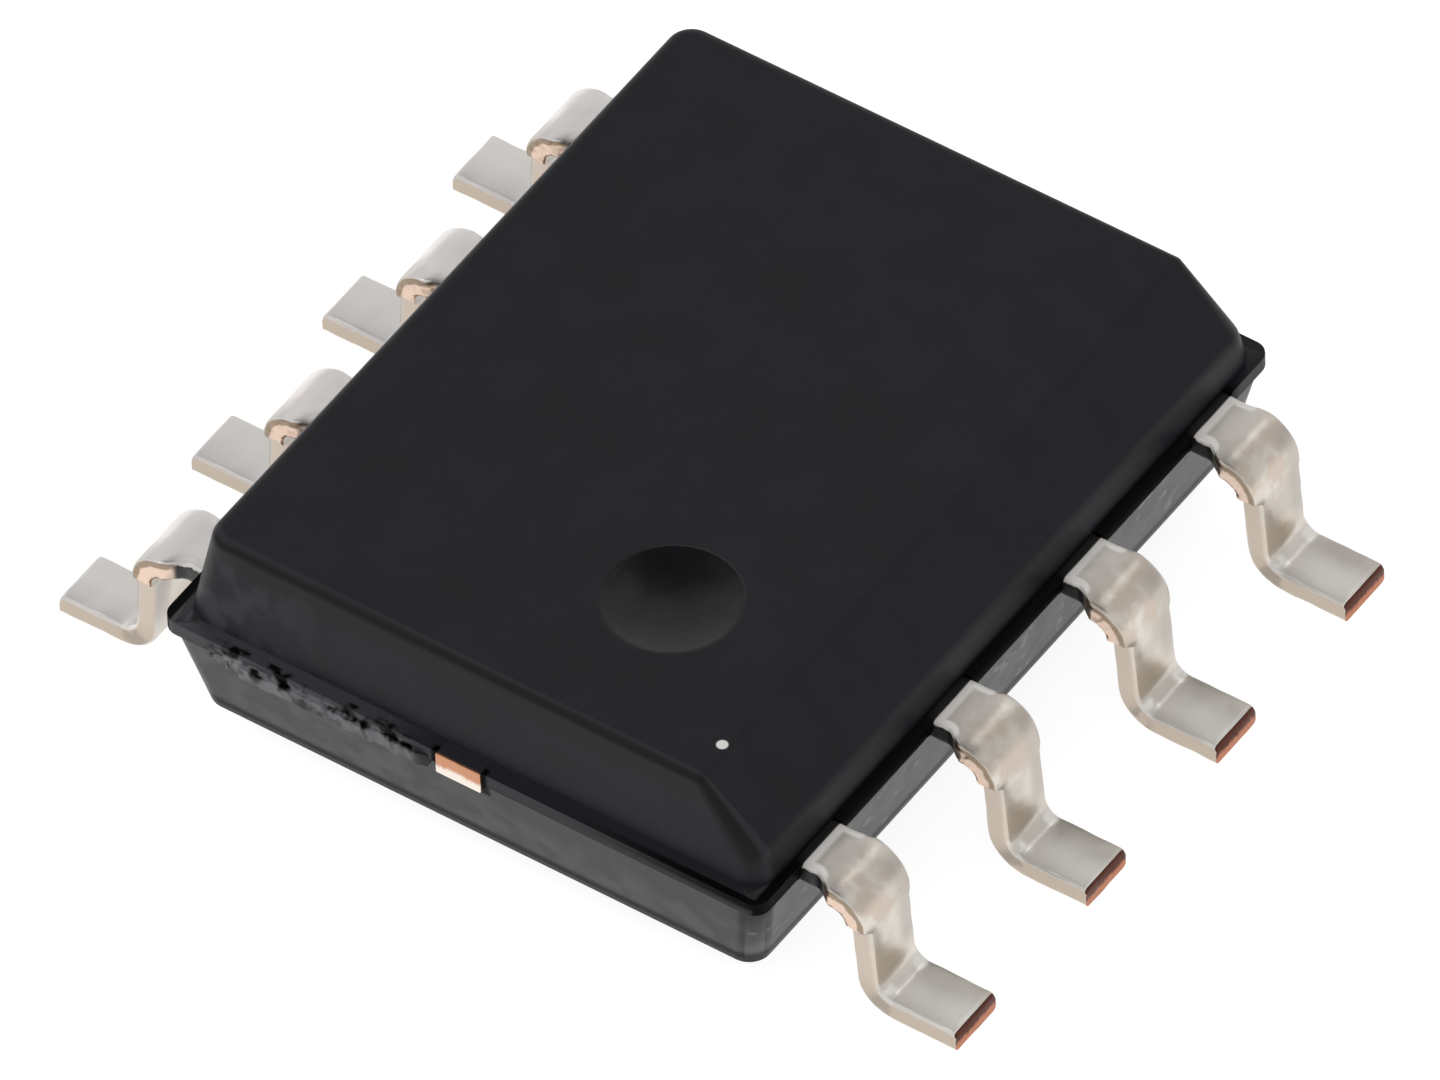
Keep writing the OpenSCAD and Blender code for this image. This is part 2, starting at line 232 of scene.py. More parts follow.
@dataclass(frozen=True)
class MouldCompound(Finish):
    """Silica-filled black epoxy, pressed against a spark-eroded mould: a dull, faintly mottled skin.

    The skin below the parting line is smoother and blotched, and paler: partly its own skin and partly a
    painted reflection of the white floor. Where the gate was broken off, the line between the two is ragged
    and pale filler shows in the break. Painted shade with a duller gloss lies along the land beside the leads
    and towards the near right corner, in the notches of the break, round the near tie bar and round the foot
    of the body. Painted shade also darkens the near wall towards its top, the lower wall right of the gate and
    the wall just below the near rims, and a painted highlight lies on the upper side of the near rims.

    A pair says where a coat starts and where it is full: a place in millimetres or, for levels, the strength
    of a noise pattern.

    Attributes:
        skin: colour of the resin skin.
        pale: colour where filler shows through the skin.
        lower_skin_and_reflection: colour of the skin below the parting line, paler partly as a painted
            reflection of the white floor.
        lower_pale: colour of its blotches.
        rubbed: colour of rubbed patches on the near wall.
        wear_and_highlight: colour of the upper side of the land, paler with wear, and of the painted highlight
            on a rim's upper side.
        dusty: colour of the upper side of the land by the gate.
        painted_shade: colour of the painted shade.
        speck: colour of the specks of filler in the lower skin.
        broken: colour of broken resin.
        fleck: colour of a grain of filler.
        mottle_mm, blotch_mm, chip_mm, grain_mm: sizes of the mottling, of the blotches, of the chips in the
            break and of the mould's grain.
        details: fineness of these four patterns.
        grain_depth_mm: height of the grain.
        dent_share: height of the lower skin's dents, in heights of the grain.
        lower_roughness: roughness of the skin below the parting line.
        gloss: specular level of clean skin.
        painted_shade_gloss: specular level of the painted shade with a duller gloss.
        parting_mm: heights of the parting line.
        ragged_mm: unevenness of the parting line.
        end_mm: distance along the body at which the near end begins.
        gate_left_mm, gate_right_mm: sides of the broken gate across the near end.
        gate_ragged_mm: unevenness of the parting line at the gate.
        gate_rise_mm: how much higher the line is there.
        break_mm, chip_levels: heights and strength of the chips below the line.
        mottle_levels, blotch_levels: strength of the mottling and of the blotches.
        rub_mm, rub_levels: place across the near end and strength of the rubbed patches.
        land_top_mm: heights of the upper side of the land.
        dust_mm: place of the dust across the near end.
        shaded_mm, shaded_share: heights at which painted shade darkens the near wall towards its top, and by
            how much.
        side_mm, speck_levels, speck_share: distance from the middle, strength and share of the specks on the
            walls below the leads.
        wall_shade_x_mm, wall_shade_z_mm, wall_shade_share: place and share of the painted shade on the lower
        wall right of the gate, growing upwards towards the land.
        lip_y_mm, lip_z_mm: outer edge of the land at the near end, where the painted shades below lie.
        notch_shade_mm, notch_shade_levels, notch_shade_gate: heights and strength of the painted shade in the
        notches, and how much of the gate it needs.
        tie_shade_x_mm, tie_shade_z_mm: painted shade round the near tie bar.
        corner_shade_x_mm, corner_shade_z_mm: painted shade towards the near right corner.
        beside_shade_x_mm, beside_shade_low_mm, beside_shade_high_mm, beside_shade_far_mm: painted shade beside
        the leads, with its lower, upper and far limits.
        under_shade_mm, under_shade_share: heights and share of the painted shade round the foot of the body.
        rim_up: how far a rim faces upwards, as part of a unit normal.
        rim_highlight_start, rim_highlight_end: how far it faces the near end where it has the painted
            highlight.
        rim_shade_start, rim_shade_end: how far it does where painted shade lies below it.
        fleck_mm: place of a pale grain of filler in the top face.
        fleck_r_mm: its radius.
    """

    skin: str = "#131318"
    pale: str = "#1a1a21"
    lower_skin_and_reflection: str = "#232224"
    lower_pale: str = "#464547"
    rubbed: str = "#343238"
    wear_and_highlight: str = "#2b2b30"
    dusty: str = "#47474c"
    painted_shade: str = "#0a0a0b"
    speck: str = "#8a898b"
    broken: str = "#88888c"
    fleck: str = "#f2f0ec"
    mottle_mm: float = 0.35
    blotch_mm: float = 0.2
    chip_mm: float = 0.12
    grain_mm: float = 0.03
    details: tuple[float, float, float, float] = (4.0, 1.5, 2.0, 4.0)
    grain_depth_mm: float = 0.0015
    dent_share: float = 2.0
    lower_roughness: float = 0.34
    gloss: float = 0.22
    painted_shade_gloss: float = 0.03
    parting_mm: Pair = (0.865, 0.835)
    ragged_mm: float = 0.012
    end_mm: Pair = (-2.29, -2.31)
    gate_left_mm: Pair = (-1.75, -1.55)
    gate_right_mm: Pair = (-0.26, -0.34)
    gate_ragged_mm: float = 0.2
    gate_rise_mm: float = 0.05
    break_mm: Pair = (0.65, 0.79)
    chip_levels: Pair = (0.32, 0.6)
    mottle_levels: Pair = (0.2, 0.8)
    blotch_levels: Pair = (0.36, 0.62)
    rub_mm: Pair = (-0.6, -1.9)
    rub_levels: Pair = (0.46, 0.6)
    land_top_mm: Pair = (0.97, 0.935)
    dust_mm: Pair = (-0.16, -0.66)
    shaded_mm: Pair = (1.32, 1.52)
    shaded_share: float = 0.6
    side_mm: Pair = (1.8, 1.85)
    speck_levels: Pair = (0.58, 0.7)
    speck_share: float = 0.7
    wall_shade_x_mm: Pair = (-0.26, 0.34)
    wall_shade_z_mm: Pair = (0.5, 0.7)
    wall_shade_share: float = 0.8
    lip_y_mm: Pair = (-2.445, -2.465)
    lip_z_mm: Pair = (0.99, 0.95)
    notch_shade_mm: Pair = (0.8, 0.87)
    notch_shade_levels: Pair = (0.57, 0.36)
    notch_shade_gate: Pair = (0.0, 0.85)
    tie_shade_x_mm: Pair = (0.2, 0.17)
    tie_shade_z_mm: Pair = (0.71, 0.73)
    corner_shade_x_mm: Pair = (0.3, 1.9)
    corner_shade_z_mm: Pair = (0.85, 0.9)
    beside_shade_x_mm: Pair = (1.93, 1.95)
    beside_shade_low_mm: Pair = (0.78, 0.83)
    beside_shade_high_mm: Pair = (0.98, 0.93)
    beside_shade_far_mm: Pair = (2.2, 2.1)
    under_shade_mm: Pair = (0.375, 0.295)
    under_shade_share: float = 0.9
    rim_up: Pair = (0.15, 0.35)
    rim_highlight_start: Pair = (-0.03, -0.12)
    rim_highlight_end: Pair = (-0.5, -0.3)
    rim_shade_start: Pair = (-0.4, -0.6)
    rim_shade_end: Pair = (-0.97, -0.85)
    fleck_mm: Point = (1.472, -2.06, 1.55)
    fleck_r_mm: Pair = (0.0385, 0.028)

    def paint(self, tree: NodeTree, in_mm: Node) -> dict[str, object]:
        """Makes mottled skin, the marks of the mould and grain. See Finish.paint."""
        x, y, z = add(tree, "ShaderNodeSeparateXYZ", {0: in_mm}).outputs
        sizes = (self.mottle_mm, self.blotch_mm, self.chip_mm, self.grain_mm)
        mottle, blotch, chip, grain = (
            add(tree, "ShaderNodeTexNoise", {"Vector": in_mm, "Scale": 1 / size, "Detail": detail})
            for size, detail in zip(sizes, self.details))
        reach = add(tree, "ShaderNodeMath", {0: x}, operation="ABSOLUTE")
        at_end = (y, *self.end_mm)
        gate = share(tree, at_end, (x, *self.gate_left_mm), (x, *self.gate_right_mm))
        level = self.ragged_height(tree, z, chip, gate)
        below = (level, *self.parting_mm)

        on_land = ((z, *self.land_top_mm), at_end)
        upper = coats(tree, self.skin, (
            (self.pale, 1.0, (mottle, *self.mottle_levels)),
            (self.rubbed, 1.0, (blotch, *self.rub_levels), at_end, (x, *self.rub_mm)),
            (self.wear_and_highlight, 1.0, *on_land),
            (self.dusty, 1.0, *on_land, (x, *self.dust_mm)),
            # painted shade: the near wall darkens towards its top
            (self.painted_shade, self.shaded_share, at_end, (z, *self.shaded_mm)),
        ))
        # below the parting line: a paler skin, partly its own colour and partly a painted reflection of the
        # white floor
        lower = coats(tree, self.lower_skin_and_reflection, (
            (self.lower_pale, 1.0, (blotch, *self.blotch_levels)),
            (self.speck, self.speck_share, (chip, *self.speck_levels), (reach, *self.side_mm)),
            # painted shade on the lower wall right of the gate, growing upwards towards the land
            (self.skin, self.wall_shade_share, at_end, (x, *self.wall_shade_x_mm), (z, *self.wall_shade_z_mm)),
            (self.broken, 1.0, (gate, *WHOLE), (level, *self.break_mm), (chip, *self.chip_levels)),
        ))
        clean = self.rims(tree, coat(tree, upper, lower, below))

        # painted shade with a duller gloss: round the foot of the body, beside the leads, in the notches of the
        # break, round the near tie bar and towards the near right corner
        lip = ((y, *self.lip_y_mm), (z, *self.lip_z_mm))
        painted_shading = share(tree, (z, *self.under_shade_mm), most=self.under_shade_share)
        for limits in (
            ((reach, *self.beside_shade_x_mm), (z, *self.beside_shade_low_mm), (z, *self.beside_shade_high_mm),
             (y, *self.beside_shade_far_mm)),
            ((gate, *self.notch_shade_gate), (chip, *self.notch_shade_levels), *lip, (z, *self.notch_shade_mm)),
            ((reach, *self.tie_shade_x_mm), (z, *self.tie_shade_z_mm), *lip),
            ((x, *self.corner_shade_x_mm), (z, *self.corner_shade_z_mm), *lip),
        ):
            painted_shading = add(tree, "ShaderNodeMath", {0: painted_shading, 1: share(tree, *limits)}, operation="MAXIMUM")
        away = add(tree, "ShaderNodeVectorMath", {0: in_mm, 1: self.fleck_mm}, operation="DISTANCE")
        lowered = share(tree, below)
        faint = add(tree, "ShaderNodeMapRange", {"Value": lowered, "To Min": grain, "To Max": NOISE_MIDDLE})
        dents = add(tree, "ShaderNodeMath", {0: blotch, 1: share(tree, below, most=self.dent_share), 2: faint},
                    operation="MULTIPLY_ADD")
        return {
            "Base Color": coats(tree, clean, ((self.painted_shade, 1.0, (painted_shading, *WHOLE)),
                                              (self.fleck, 1.0, (away, *self.fleck_r_mm)))),
            "Roughness": add(tree, "ShaderNodeMapRange", {"Value": lowered, "To Min": self.roughness,
                                                          "To Max": self.lower_roughness}),
            "Specular IOR Level": add(tree, "ShaderNodeMapRange", {"Value": painted_shading, "To Min": self.gloss,
                                                                   "To Max": self.painted_shade_gloss}),
            "Normal": add(tree, "ShaderNodeBump", {"Height": dents, "Distance": self.grain_depth_mm * MM}),
        }

    def ragged_height(self, tree: NodeTree, z: NodeSocket, chip: Node, gate: Node) -> Node:
        """Makes the height uneven, so that the parting line is ragged, and most so at the gate.

        Args:
            tree: the material's tree.
            z: the true height.
            chip: the pattern of the chips.
            gate: how much of the gate there is.

        Returns:
            The uneven height.
        """
        swing = add(tree, "ShaderNodeMath", {0: gate, 1: self.gate_ragged_mm, 2: self.ragged_mm},
                    operation="MULTIPLY_ADD")
        sunk = add(tree, "ShaderNodeMath", {0: gate, 1: -self.gate_rise_mm, 2: z}, operation="MULTIPLY_ADD")
        centred = add(tree, "ShaderNodeMath", {0: chip, 1: NOISE_MIDDLE}, operation="SUBTRACT")
        return add(tree, "ShaderNodeMath", {0: centred, 1: swing, 2: sunk}, operation="MULTIPLY_ADD")

    def rims(self, tree: NodeTree, colour: Node) -> Node:
        """Lays a painted highlight on the upper side of the near rims and painted shade just below them.

        Args:
            tree: the material's tree.
            colour: colour of the skin.

        Returns:
            The colour with its rims, found by the way that the rounded surface faces.
        """
        normal = add(tree, "ShaderNodeNewGeometry").outputs["Normal"]
        _, ahead, upward = add(tree, "ShaderNodeSeparateXYZ", {0: normal}).outputs
        turned_up = (upward, *self.rim_up)
        return coats(tree, colour, (
            # painted highlight on the upper side of the near rims
            (self.wear_and_highlight, 1.0, (ahead, *self.rim_highlight_start), (ahead, *self.rim_highlight_end), turned_up),
            # painted shade just below the near rims
            (self.painted_shade, 1.0, (ahead, *self.rim_shade_start), (ahead, *self.rim_shade_end), turned_up),
        ))


@dataclass(frozen=True)
class PolishedCompound(Finish):
    """The same epoxy against the polished pin that forms the dimple: glossier, with faint drag marks.

    Painted shade, with a duller gloss, darkens the side of the dish that looks towards the near right corner.

    Attributes:
        painted_shading: colour of the painted shade.
        painted_shading_gloss: specular level of the painted shade.
        middle_mm: middle of the dish.
        painted_shading_way: direction in which the painted shade gets darker.
        painted_shading_mm, painted_shading_share: distances from the middle, that way, over which it does, and
        how much of its
            colour shows there.
        skin: colour of the resin skin.
        pale: colour where filler shows through the skin.
        gloss: specular level.
        mottle_mm, mottle_levels: size and strength of the mottling.
        drag_mm: size of the drag marks.
        drag_depth_mm: depth of the drag marks.
        detail: fineness of both patterns.
    """

    painted_shading: str = "#070709"
    painted_shading_gloss: float = 0.17
    middle_mm: Point = (0.63, -1.32, 1.5)
    painted_shading_way: Point = (-0.62, 0.78, 0.0)
    painted_shading_mm: Pair = (0.02, 0.2)
    painted_shading_share: float = 0.5
    skin: str = "#0d0d11"
    pale: str = "#17171c"
    gloss: float = 0.27
    mottle_mm: float = 0.12
    mottle_levels: Pair = (0.3, 0.7)
    drag_mm: float = 0.05
    drag_depth_mm: float = 0.0015
    detail: float = 4.0

    def paint(self, tree: NodeTree, in_mm: Node) -> dict[str, object]:
        """Makes mottled colour, film and drag marks. See Finish.paint."""
        mottle, drag = (
            add(tree, "ShaderNodeTexNoise", {"Vector": in_mm, "Scale": 1 / size, "Detail": self.detail})
            for size in (self.mottle_mm, self.drag_mm))
        # painted shade on the side of the dish that looks towards the near right corner
        aside = add(tree, "ShaderNodeVectorMath", {0: in_mm, 1: self.middle_mm}, operation="SUBTRACT")
        along = add(tree, "ShaderNodeVectorMath", {0: aside, 1: self.painted_shading_way}, operation="DOT_PRODUCT")
        painted_shading = share(tree, (along.outputs["Value"], *self.painted_shading_mm))
        return {
            "Base Color": coats(tree, self.skin, ((self.pale, 1.0, (mottle, *self.mottle_levels)),
                                                  (self.painted_shading, self.painted_shading_share, (painted_shading, *WHOLE)))),
            "Specular IOR Level": add(tree, "ShaderNodeMapRange", {"Value": painted_shading, "To Min": self.gloss,
                                                                   "To Max": self.painted_shading_gloss}),
            "Normal": add(tree, "ShaderNodeBump", {"Height": drag, "Distance": self.drag_depth_mm * MM}),
        }


@dataclass(frozen=True)
class TinPlate(Finish):
    """Matte electroplated tin over stamped copper: a soft, slightly warm metal sheen, unevenly thick.

    The finish follows attributes of the lead: "past", in millimetres from the start of the shoulder bend,
    "flank" and "level", its place in the section, and "shear", the cut dam-bar stubs. Painted highlights, pale
    and less metallic, lie along the root's edges, across the root and at the ends of the foot bend, and those
    on the edges and the bend are glossier. Painted light makes the near half of the foot's upper face and the
    upper faces of leads 5 to 8 paler and the whole upper face of the foot less metallic, and painted shade
    darkens the leg's far half and a patch on the inside of the foot bend. Black resin clings to the sides
    between the body and the stubs, and the stubs show bare copper between brown borders.

    A pair says where a coat starts and where it is full: for names in _mm along the lead as "past" counts it,
    for bands across it, and for levels in the strength of a noise pattern.

    Attributes:
        bright: colour of clean plating.
        dull: colour of plating that has been handled.
        warm: colour of plating stretched thin at the bend, where the copper shows through.
        shade: colour of the painted shade on the inside of the foot bend.
        far: colour of the painted shade on the leg's far half.
        pale: colour of the painted highlights and of the painted light on the foot's near half.
        cream: colour of the plated sides.
        lit_row: colour of the painted light on the upper faces of the row of leads 5 to 8.
        copper: colour of bare copper.
        olive: colour of the border above the copper.
        brown: colour of the border below it.
        resin: colour of the resin on the roots.
        patch_mm, patch_levels: size and strength of the dull patches.
        spot_mm: size of the unevenness of the copper's borders and of the resin's.
        ripple_mm, ripple_depth_mm: size and height of the plating's unevenness.
        detail: fineness of these patterns.
        highlight_roughness: roughness of the glossier places under the painted highlights.
        top_band: place in the section of the upper face.
        side_band: place of the sides.
        warm_levels, warm_start_mm, warm_end_mm, warm_share: strength, place and share of the warm plating.
        lit_row_x_mm, lit_row_share: distance across the body and share of the painted light on leads 5 to 8.
        foot_mm, foot_near_light_band, foot_near_light_share: place of the foot's upper face, and side and share
        of its half painted paler as light.
        far_shade_band, far_shade_start_mm, far_shade_end_mm, far_shade_share: place and share of the painted
        shade on the leg's far half.
        shade_slant, shade_start_mm, shade_end_mm, shade_band, shade_share: slant, place and share of the
        painted shade on the inside of the foot bend.
        edge_highlight_band, edge_highlight_mm: place of the painted highlights on the root's edges.
        bend_highlight_band, bend_highlight_start_mm, bend_highlight_end_mm, bend_highlight_levels: place and
        strength of the painted highlights at the ends of the foot bend.
        highlight_share: how much of the highlight colour shows on the edges and the ends of the foot bend.
        root_highlight_x_mm: distance from the middle of the body to the end of the painted highlight across the
            roots.
        film_x_mm: distance to the end of the resin layer there.
        tint_mm, tint_share: place and share of an olive tint on the sides.
        cut_levels: where a stub is cut.
        cut_swing: unevenness of the borders on the cut, in half thicknesses.
        copper_band, olive_start, olive_end, brown_band: heights of the colours on the cut, likewise.
        crust_swing, crust_side, crust_band, crust_mm: unevenness and place of the resin on the sides.
        root_highlight_matte: how much less metallic the painted highlights on the roots are.
        foot_matte_light: how much less metallic the upper face of the foot and the ends of its bend are, as
            painted light.
    """

    bright: str = "#dad4cb"
    dull: str = "#c8c1b8"
    warm: str = "#c5b3a3"
    shade: str = "#d4c7b7"
    far: str = "#b4aea6"
    pale: str = "#fbf7f2"
    cream: str = "#c9bcae"
    lit_row: str = "#efebeb"
    copper: str = "#e6ccb9"
    olive: str = "#9c8a76"
    brown: str = "#6e4d3b"
    resin: str = "#161516"
    patch_mm: float = 0.3
    patch_levels: Pair = (0.35, 0.65)
    spot_mm: float = 0.06
    ripple_mm: float = 0.2
    ripple_depth_mm: float = 0.006
    detail: float = 3.0
    highlight_roughness: float = 0.28
    top_band: Pair = (0.5, 0.8)
    side_band: Pair = (0.95, 0.995)
    warm_levels: Pair = (0.4, 0.58)
    warm_start_mm: Pair = (-0.03, 0.1)
    warm_end_mm: Pair = (0.5, 0.25)
    warm_share: float = 0.6
    lit_row_x_mm: Pair = (-1.0, -1.2)
    lit_row_share: float = 0.7
    foot_mm: Pair = (0.88, 1.0)
    foot_near_light_band: Pair = (0.7, -0.3)
    foot_near_light_share: float = 0.6
    far_shade_band: Pair = (0.1, 0.6)
    far_shade_start_mm: Pair = (0.05, 0.16)
    far_shade_end_mm: Pair = (0.75, 0.55)
    far_shade_share: float = 0.75
    shade_slant: float = -0.1
    shade_start_mm: Pair = (0.5, 0.63)
    shade_end_mm: Pair = (0.79, 0.7)
    shade_band: Pair = (0.6, 0.1)
    shade_share: float = 0.85
    edge_highlight_band: Pair = (0.62, 0.8)
    edge_highlight_mm: Pair = (0.0, -0.06)
    bend_highlight_band: Pair = (0.35, 0.65)
    bend_highlight_start_mm: Pair = (0.78, 0.87)
    bend_highlight_end_mm: Pair = (1.0, 0.93)
    bend_highlight_levels: Pair = (0.35, 0.5)
    highlight_share: float = 0.9
    root_highlight_x_mm: Pair = (2.075, 2.035)
    film_x_mm: Pair = (2.013, 1.997)
    tint_mm: Pair = (0.65, 0.85)
    tint_share: float = 0.25
    cut_levels: Pair = (0.2, 0.8)
    cut_swing: float = 0.5
    copper_band: Pair = (1.0, 0.8)
    olive_start: Pair = (0.45, 0.65)
    olive_end: Pair = (1.25, 1.0)
    brown_band: Pair = (-0.35, -0.55)
    crust_swing: float = 0.7
    crust_side: Pair = (0.88, 0.95)
    crust_band: Pair = (1.1, 0.9)
    crust_mm: Pair = (-0.02, -0.06)
    root_highlight_matte: float = 0.85
    foot_matte_light: float = 0.6

    def paint(self, tree: NodeTree, in_mm: Node) -> dict[str, object]:
        """Makes plating, cut sides, burnished places and resin. See Finish.paint."""
        past, flank, level, shear = (add(tree, "ShaderNodeAttribute", attribute_name=name).outputs["Fac"]
                                     for name in ("past", "flank", "level", "shear"))
        sizes = (self.patch_mm, self.patch_mm / 2, self.spot_mm, self.ripple_mm)
        patch, small, spot, ripple = (
            add(tree, "ShaderNodeTexNoise", {"Vector": in_mm, "Scale": 1 / size, "Detail": self.detail})
            for size in sizes)
        x = add(tree, "ShaderNodeSeparateXYZ", {0: in_mm}).outputs[0]
        reach, side = (add(tree, "ShaderNodeMath", {0: v}, operation="ABSOLUTE") for v in (x, flank))
        slant = add(tree, "ShaderNodeMath", {0: flank, 1: self.shade_slant, 2: past}, operation="MULTIPLY_ADD")
        ragged, clinging = (
            add(tree, "ShaderNodeMath", {0: spot, 1: swing, 2: level}, operation="MULTIPLY_ADD")
            for swing in (self.cut_swing, self.crust_swing))
        on_top, under_top = (level, *self.top_band), (level, *self.top_band[::-1])
        on_side, cut, on_foot = (side, *self.side_band), (shear, *self.cut_levels), (past, *self.foot_mm)

        # painted highlights: the root's edges, the ends of the foot bend and a line across the root
        edge = share(tree, (side, *self.edge_highlight_band), on_top, (past, *self.edge_highlight_mm))
        ends = share(tree, (side, *self.bend_highlight_band), (past, *self.bend_highlight_start_mm), (past, *self.bend_highlight_end_mm),
                     (small, *self.bend_highlight_levels))
        # burnished: glossier places, painted pale as highlights
        burnished, root_highlight = (
            add(tree, "ShaderNodeMath", {0: other, 1: edge}, operation="MAXIMUM")
            for other in (ends, share(tree, (reach, *self.root_highlight_x_mm))))
        colour = coats(tree, self.bright, (
            (self.dull, 1.0, (patch, *self.patch_levels)),
            (self.warm, self.warm_share, (small, *self.warm_levels), (past, *self.warm_start_mm),
             (past, *self.warm_end_mm)),
            # painted light: the upper faces of leads 5 to 8 are paler
            (self.lit_row, self.lit_row_share, (x, *self.lit_row_x_mm), on_top),
            # painted light: the near half of the foot's upper face is paler
            (self.pale, self.foot_near_light_share, on_foot, on_top, (flank, *self.foot_near_light_band)),
            # painted shade on the leg's far half
            (self.far, self.far_shade_share, (flank, *self.far_shade_band), (past, *self.far_shade_start_mm),
             (past, *self.far_shade_end_mm)),
            # painted shade on the inside of the foot bend
            (self.shade, self.shade_share, (slant, *self.shade_start_mm), (past, *self.shade_end_mm),
             (flank, *self.shade_band)),
            # painted highlights, pale: the root's edges, the ends of the foot bend and the line across the root
            (self.pale, self.highlight_share, (burnished, *WHOLE)),
            (self.pale, 1.0, (root_highlight, *WHOLE)),
            (self.cream, 1.0, on_side, under_top),
            (self.olive, self.tint_share, on_side, under_top, (past, *self.tint_mm)),
            (self.copper, 1.0, cut, (ragged, *self.copper_band)),
            (self.olive, 1.0, cut, (ragged, *self.olive_start), (ragged, *self.olive_end)),
            (self.brown, 1.0, cut, (ragged, *self.brown_band)),
        ))

        crust = share(tree, (side, *self.crust_side), (clinging, *self.crust_band), (past, *self.crust_mm))
        # resin share, and painted light that makes the foot's upper face and the ends of its bend less metallic
        resin, foot_and_bend_light = (
            add(tree, "ShaderNodeMath", {0: one, 1: other}, operation="MAXIMUM") for one, other in (
                (crust, share(tree, (reach, *self.film_x_mm))),
                (share(tree, on_foot, on_top, most=self.foot_matte_light),
                 share(tree, (ends, *WHOLE), most=self.foot_matte_light))))
        # the painted highlights on the roots are less metallic too
        matte_light = add(tree, "ShaderNodeMath", {0: root_highlight, 1: self.root_highlight_matte, 2: foot_and_bend_light},
                     operation="MULTIPLY_ADD")
        non_metal = add(tree, "ShaderNodeMath", {0: resin, 1: matte_light}, operation="MAXIMUM")
        return {
            "Base Color": coat(tree, colour, self.resin, (resin, *WHOLE)),
            "Metallic": add(tree, "ShaderNodeMath", {0: self.metallic, 1: non_metal}, operation="SUBTRACT"),
            "Roughness": add(tree, "ShaderNodeMapRange", {"Value": burnished, "To Min": self.roughness,
                                                          "To Max": self.highlight_roughness}),
            "Normal": add(tree, "ShaderNodeBump", {"Height": ripple, "Distance": self.ripple_depth_mm * MM}),
        }


@dataclass(frozen=True)
class ShearedCopper(Finish):
    """Copper alloy bared by the shear that cut it: a smooth burnished zone below a torn, tarnished one.

    Attributes:
        smooth: colour of the burnished zone.
        torn: colour of the torn zone.
        split_mm: height at which the two zones meet.
        split_soft_mm: how far above it the torn colour starts and where it is full.
        resin: colour of the resin layer over what lies inside the body.
        film_end_mm: distance from the middle of the body, along it, to the end of that layer.
        film_soft_mm: half the width over which the layer ends.
        tear_mm: width of a tear mark.
        tear_stretch: scale of the marks' pattern up and down, below 1 because the shear drew them out.
        tear_swing_mm: unevenness of the line between the zones.
        tear_depth_mm: depth of a tear mark.
        detail: fineness of the marks.
    """

    smooth: str = "#c98c6c"
    torn: str = "#7a4a36"
    split_mm: float = 0.0
    split_soft_mm: Pair = (0.01, 0.05)
    resin: str = "#161516"
    film_end_mm: float = 0.0
    film_soft_mm: float = 0.003
    tear_mm: float = 0.03
    tear_stretch: float = 0.3
    tear_swing_mm: float = 0.06
    tear_depth_mm: float = 0.003
    detail: float = 4.0

    def paint(self, tree: NodeTree, in_mm: Node) -> dict[str, object]:
        """Makes the two zones and tear marks, which run up and down. See Finish.paint."""
        drawn = add(tree, "ShaderNodeMapping", {"Vector": in_mm, "Scale": (1.0, 1.0, self.tear_stretch)})
        tears = add(tree, "ShaderNodeTexNoise", {"Vector": drawn, "Scale": 1 / self.tear_mm,
                                                 "Detail": self.detail})
        _, along, height = add(tree, "ShaderNodeSeparateXYZ", {0: in_mm}).outputs
        ragged = add(tree, "ShaderNodeMath", {0: tears, 1: self.tear_swing_mm, 2: height},
                     operation="MULTIPLY_ADD")
        reach = add(tree, "ShaderNodeMath", {0: along}, operation="ABSOLUTE")
        metal = coat(tree, self.smooth, self.torn, (ragged, *(self.split_mm + v for v in self.split_soft_mm)))
        bare = (reach, self.film_end_mm - self.film_soft_mm, self.film_end_mm + self.film_soft_mm)
        return {"Base Color": coat(tree, self.resin, metal, bare), "Metallic": share(tree, bare),
                "Normal": add(tree, "ShaderNodeBump", {"Height": tears, "Distance": self.tear_depth_mm * MM})}


@dataclass(frozen=True)
class Speckled(Finish):
    """A finish of two close tones.

    Attributes:
        ground: main colour.
        fleck: colour of the flecks.
        fleck_mm, fleck_levels: size and strength of the flecks.
    """

    ground: str = "#808080"
    fleck: str = "#909090"
    fleck_mm: float = 0.05
    fleck_levels: Pair = (0.3, 0.7)

    def paint(self, tree: NodeTree, in_mm: Node) -> dict[str, object]:
        """Makes the flecks. See Finish.paint."""
        flecks = add(tree, "ShaderNodeTexNoise", {"Vector": in_mm, "Scale": 1 / self.fleck_mm})
        return {"Base Color": coat(tree, self.ground, self.fleck, (flecks, *self.fleck_levels))}


EPOXY = MouldCompound("silica_filled_epoxy", roughness=0.45, metallic=0.0)
DIMPLE_EPOXY = PolishedCompound("polished_epoxy", roughness=0.3, metallic=0.0)
TIN = TinPlate("matte_tin_plate", roughness=0.34, metallic=1.0)
# The foot's end was cut from below: burnished copper under a torn brown zone
TIP_COPPER = ShearedCopper("sheared_copper_tip", 0.4, 1.0, smooth="#b97a5c", torn="#553228", split_mm=0.06)
# The tie bar's end: the shear's smooth lower zone, painted nearly white as a painted highlight, below a torn
# zone
TIE_COPPER = ShearedCopper("sheared_copper_tie", 0.35, 1.0, smooth="#f6ebe0", torn="#cc9273", split_mm=0.848,
                           resin="#2b2b30", film_end_mm=2.5)
# Fresh breaks are dull, with pale filler grains
BROKEN_EPOXY = Speckled("broken_epoxy", 0.6, 0.0, ground="#5c5c60", fleck="#94949a", fleck_mm=0.08)
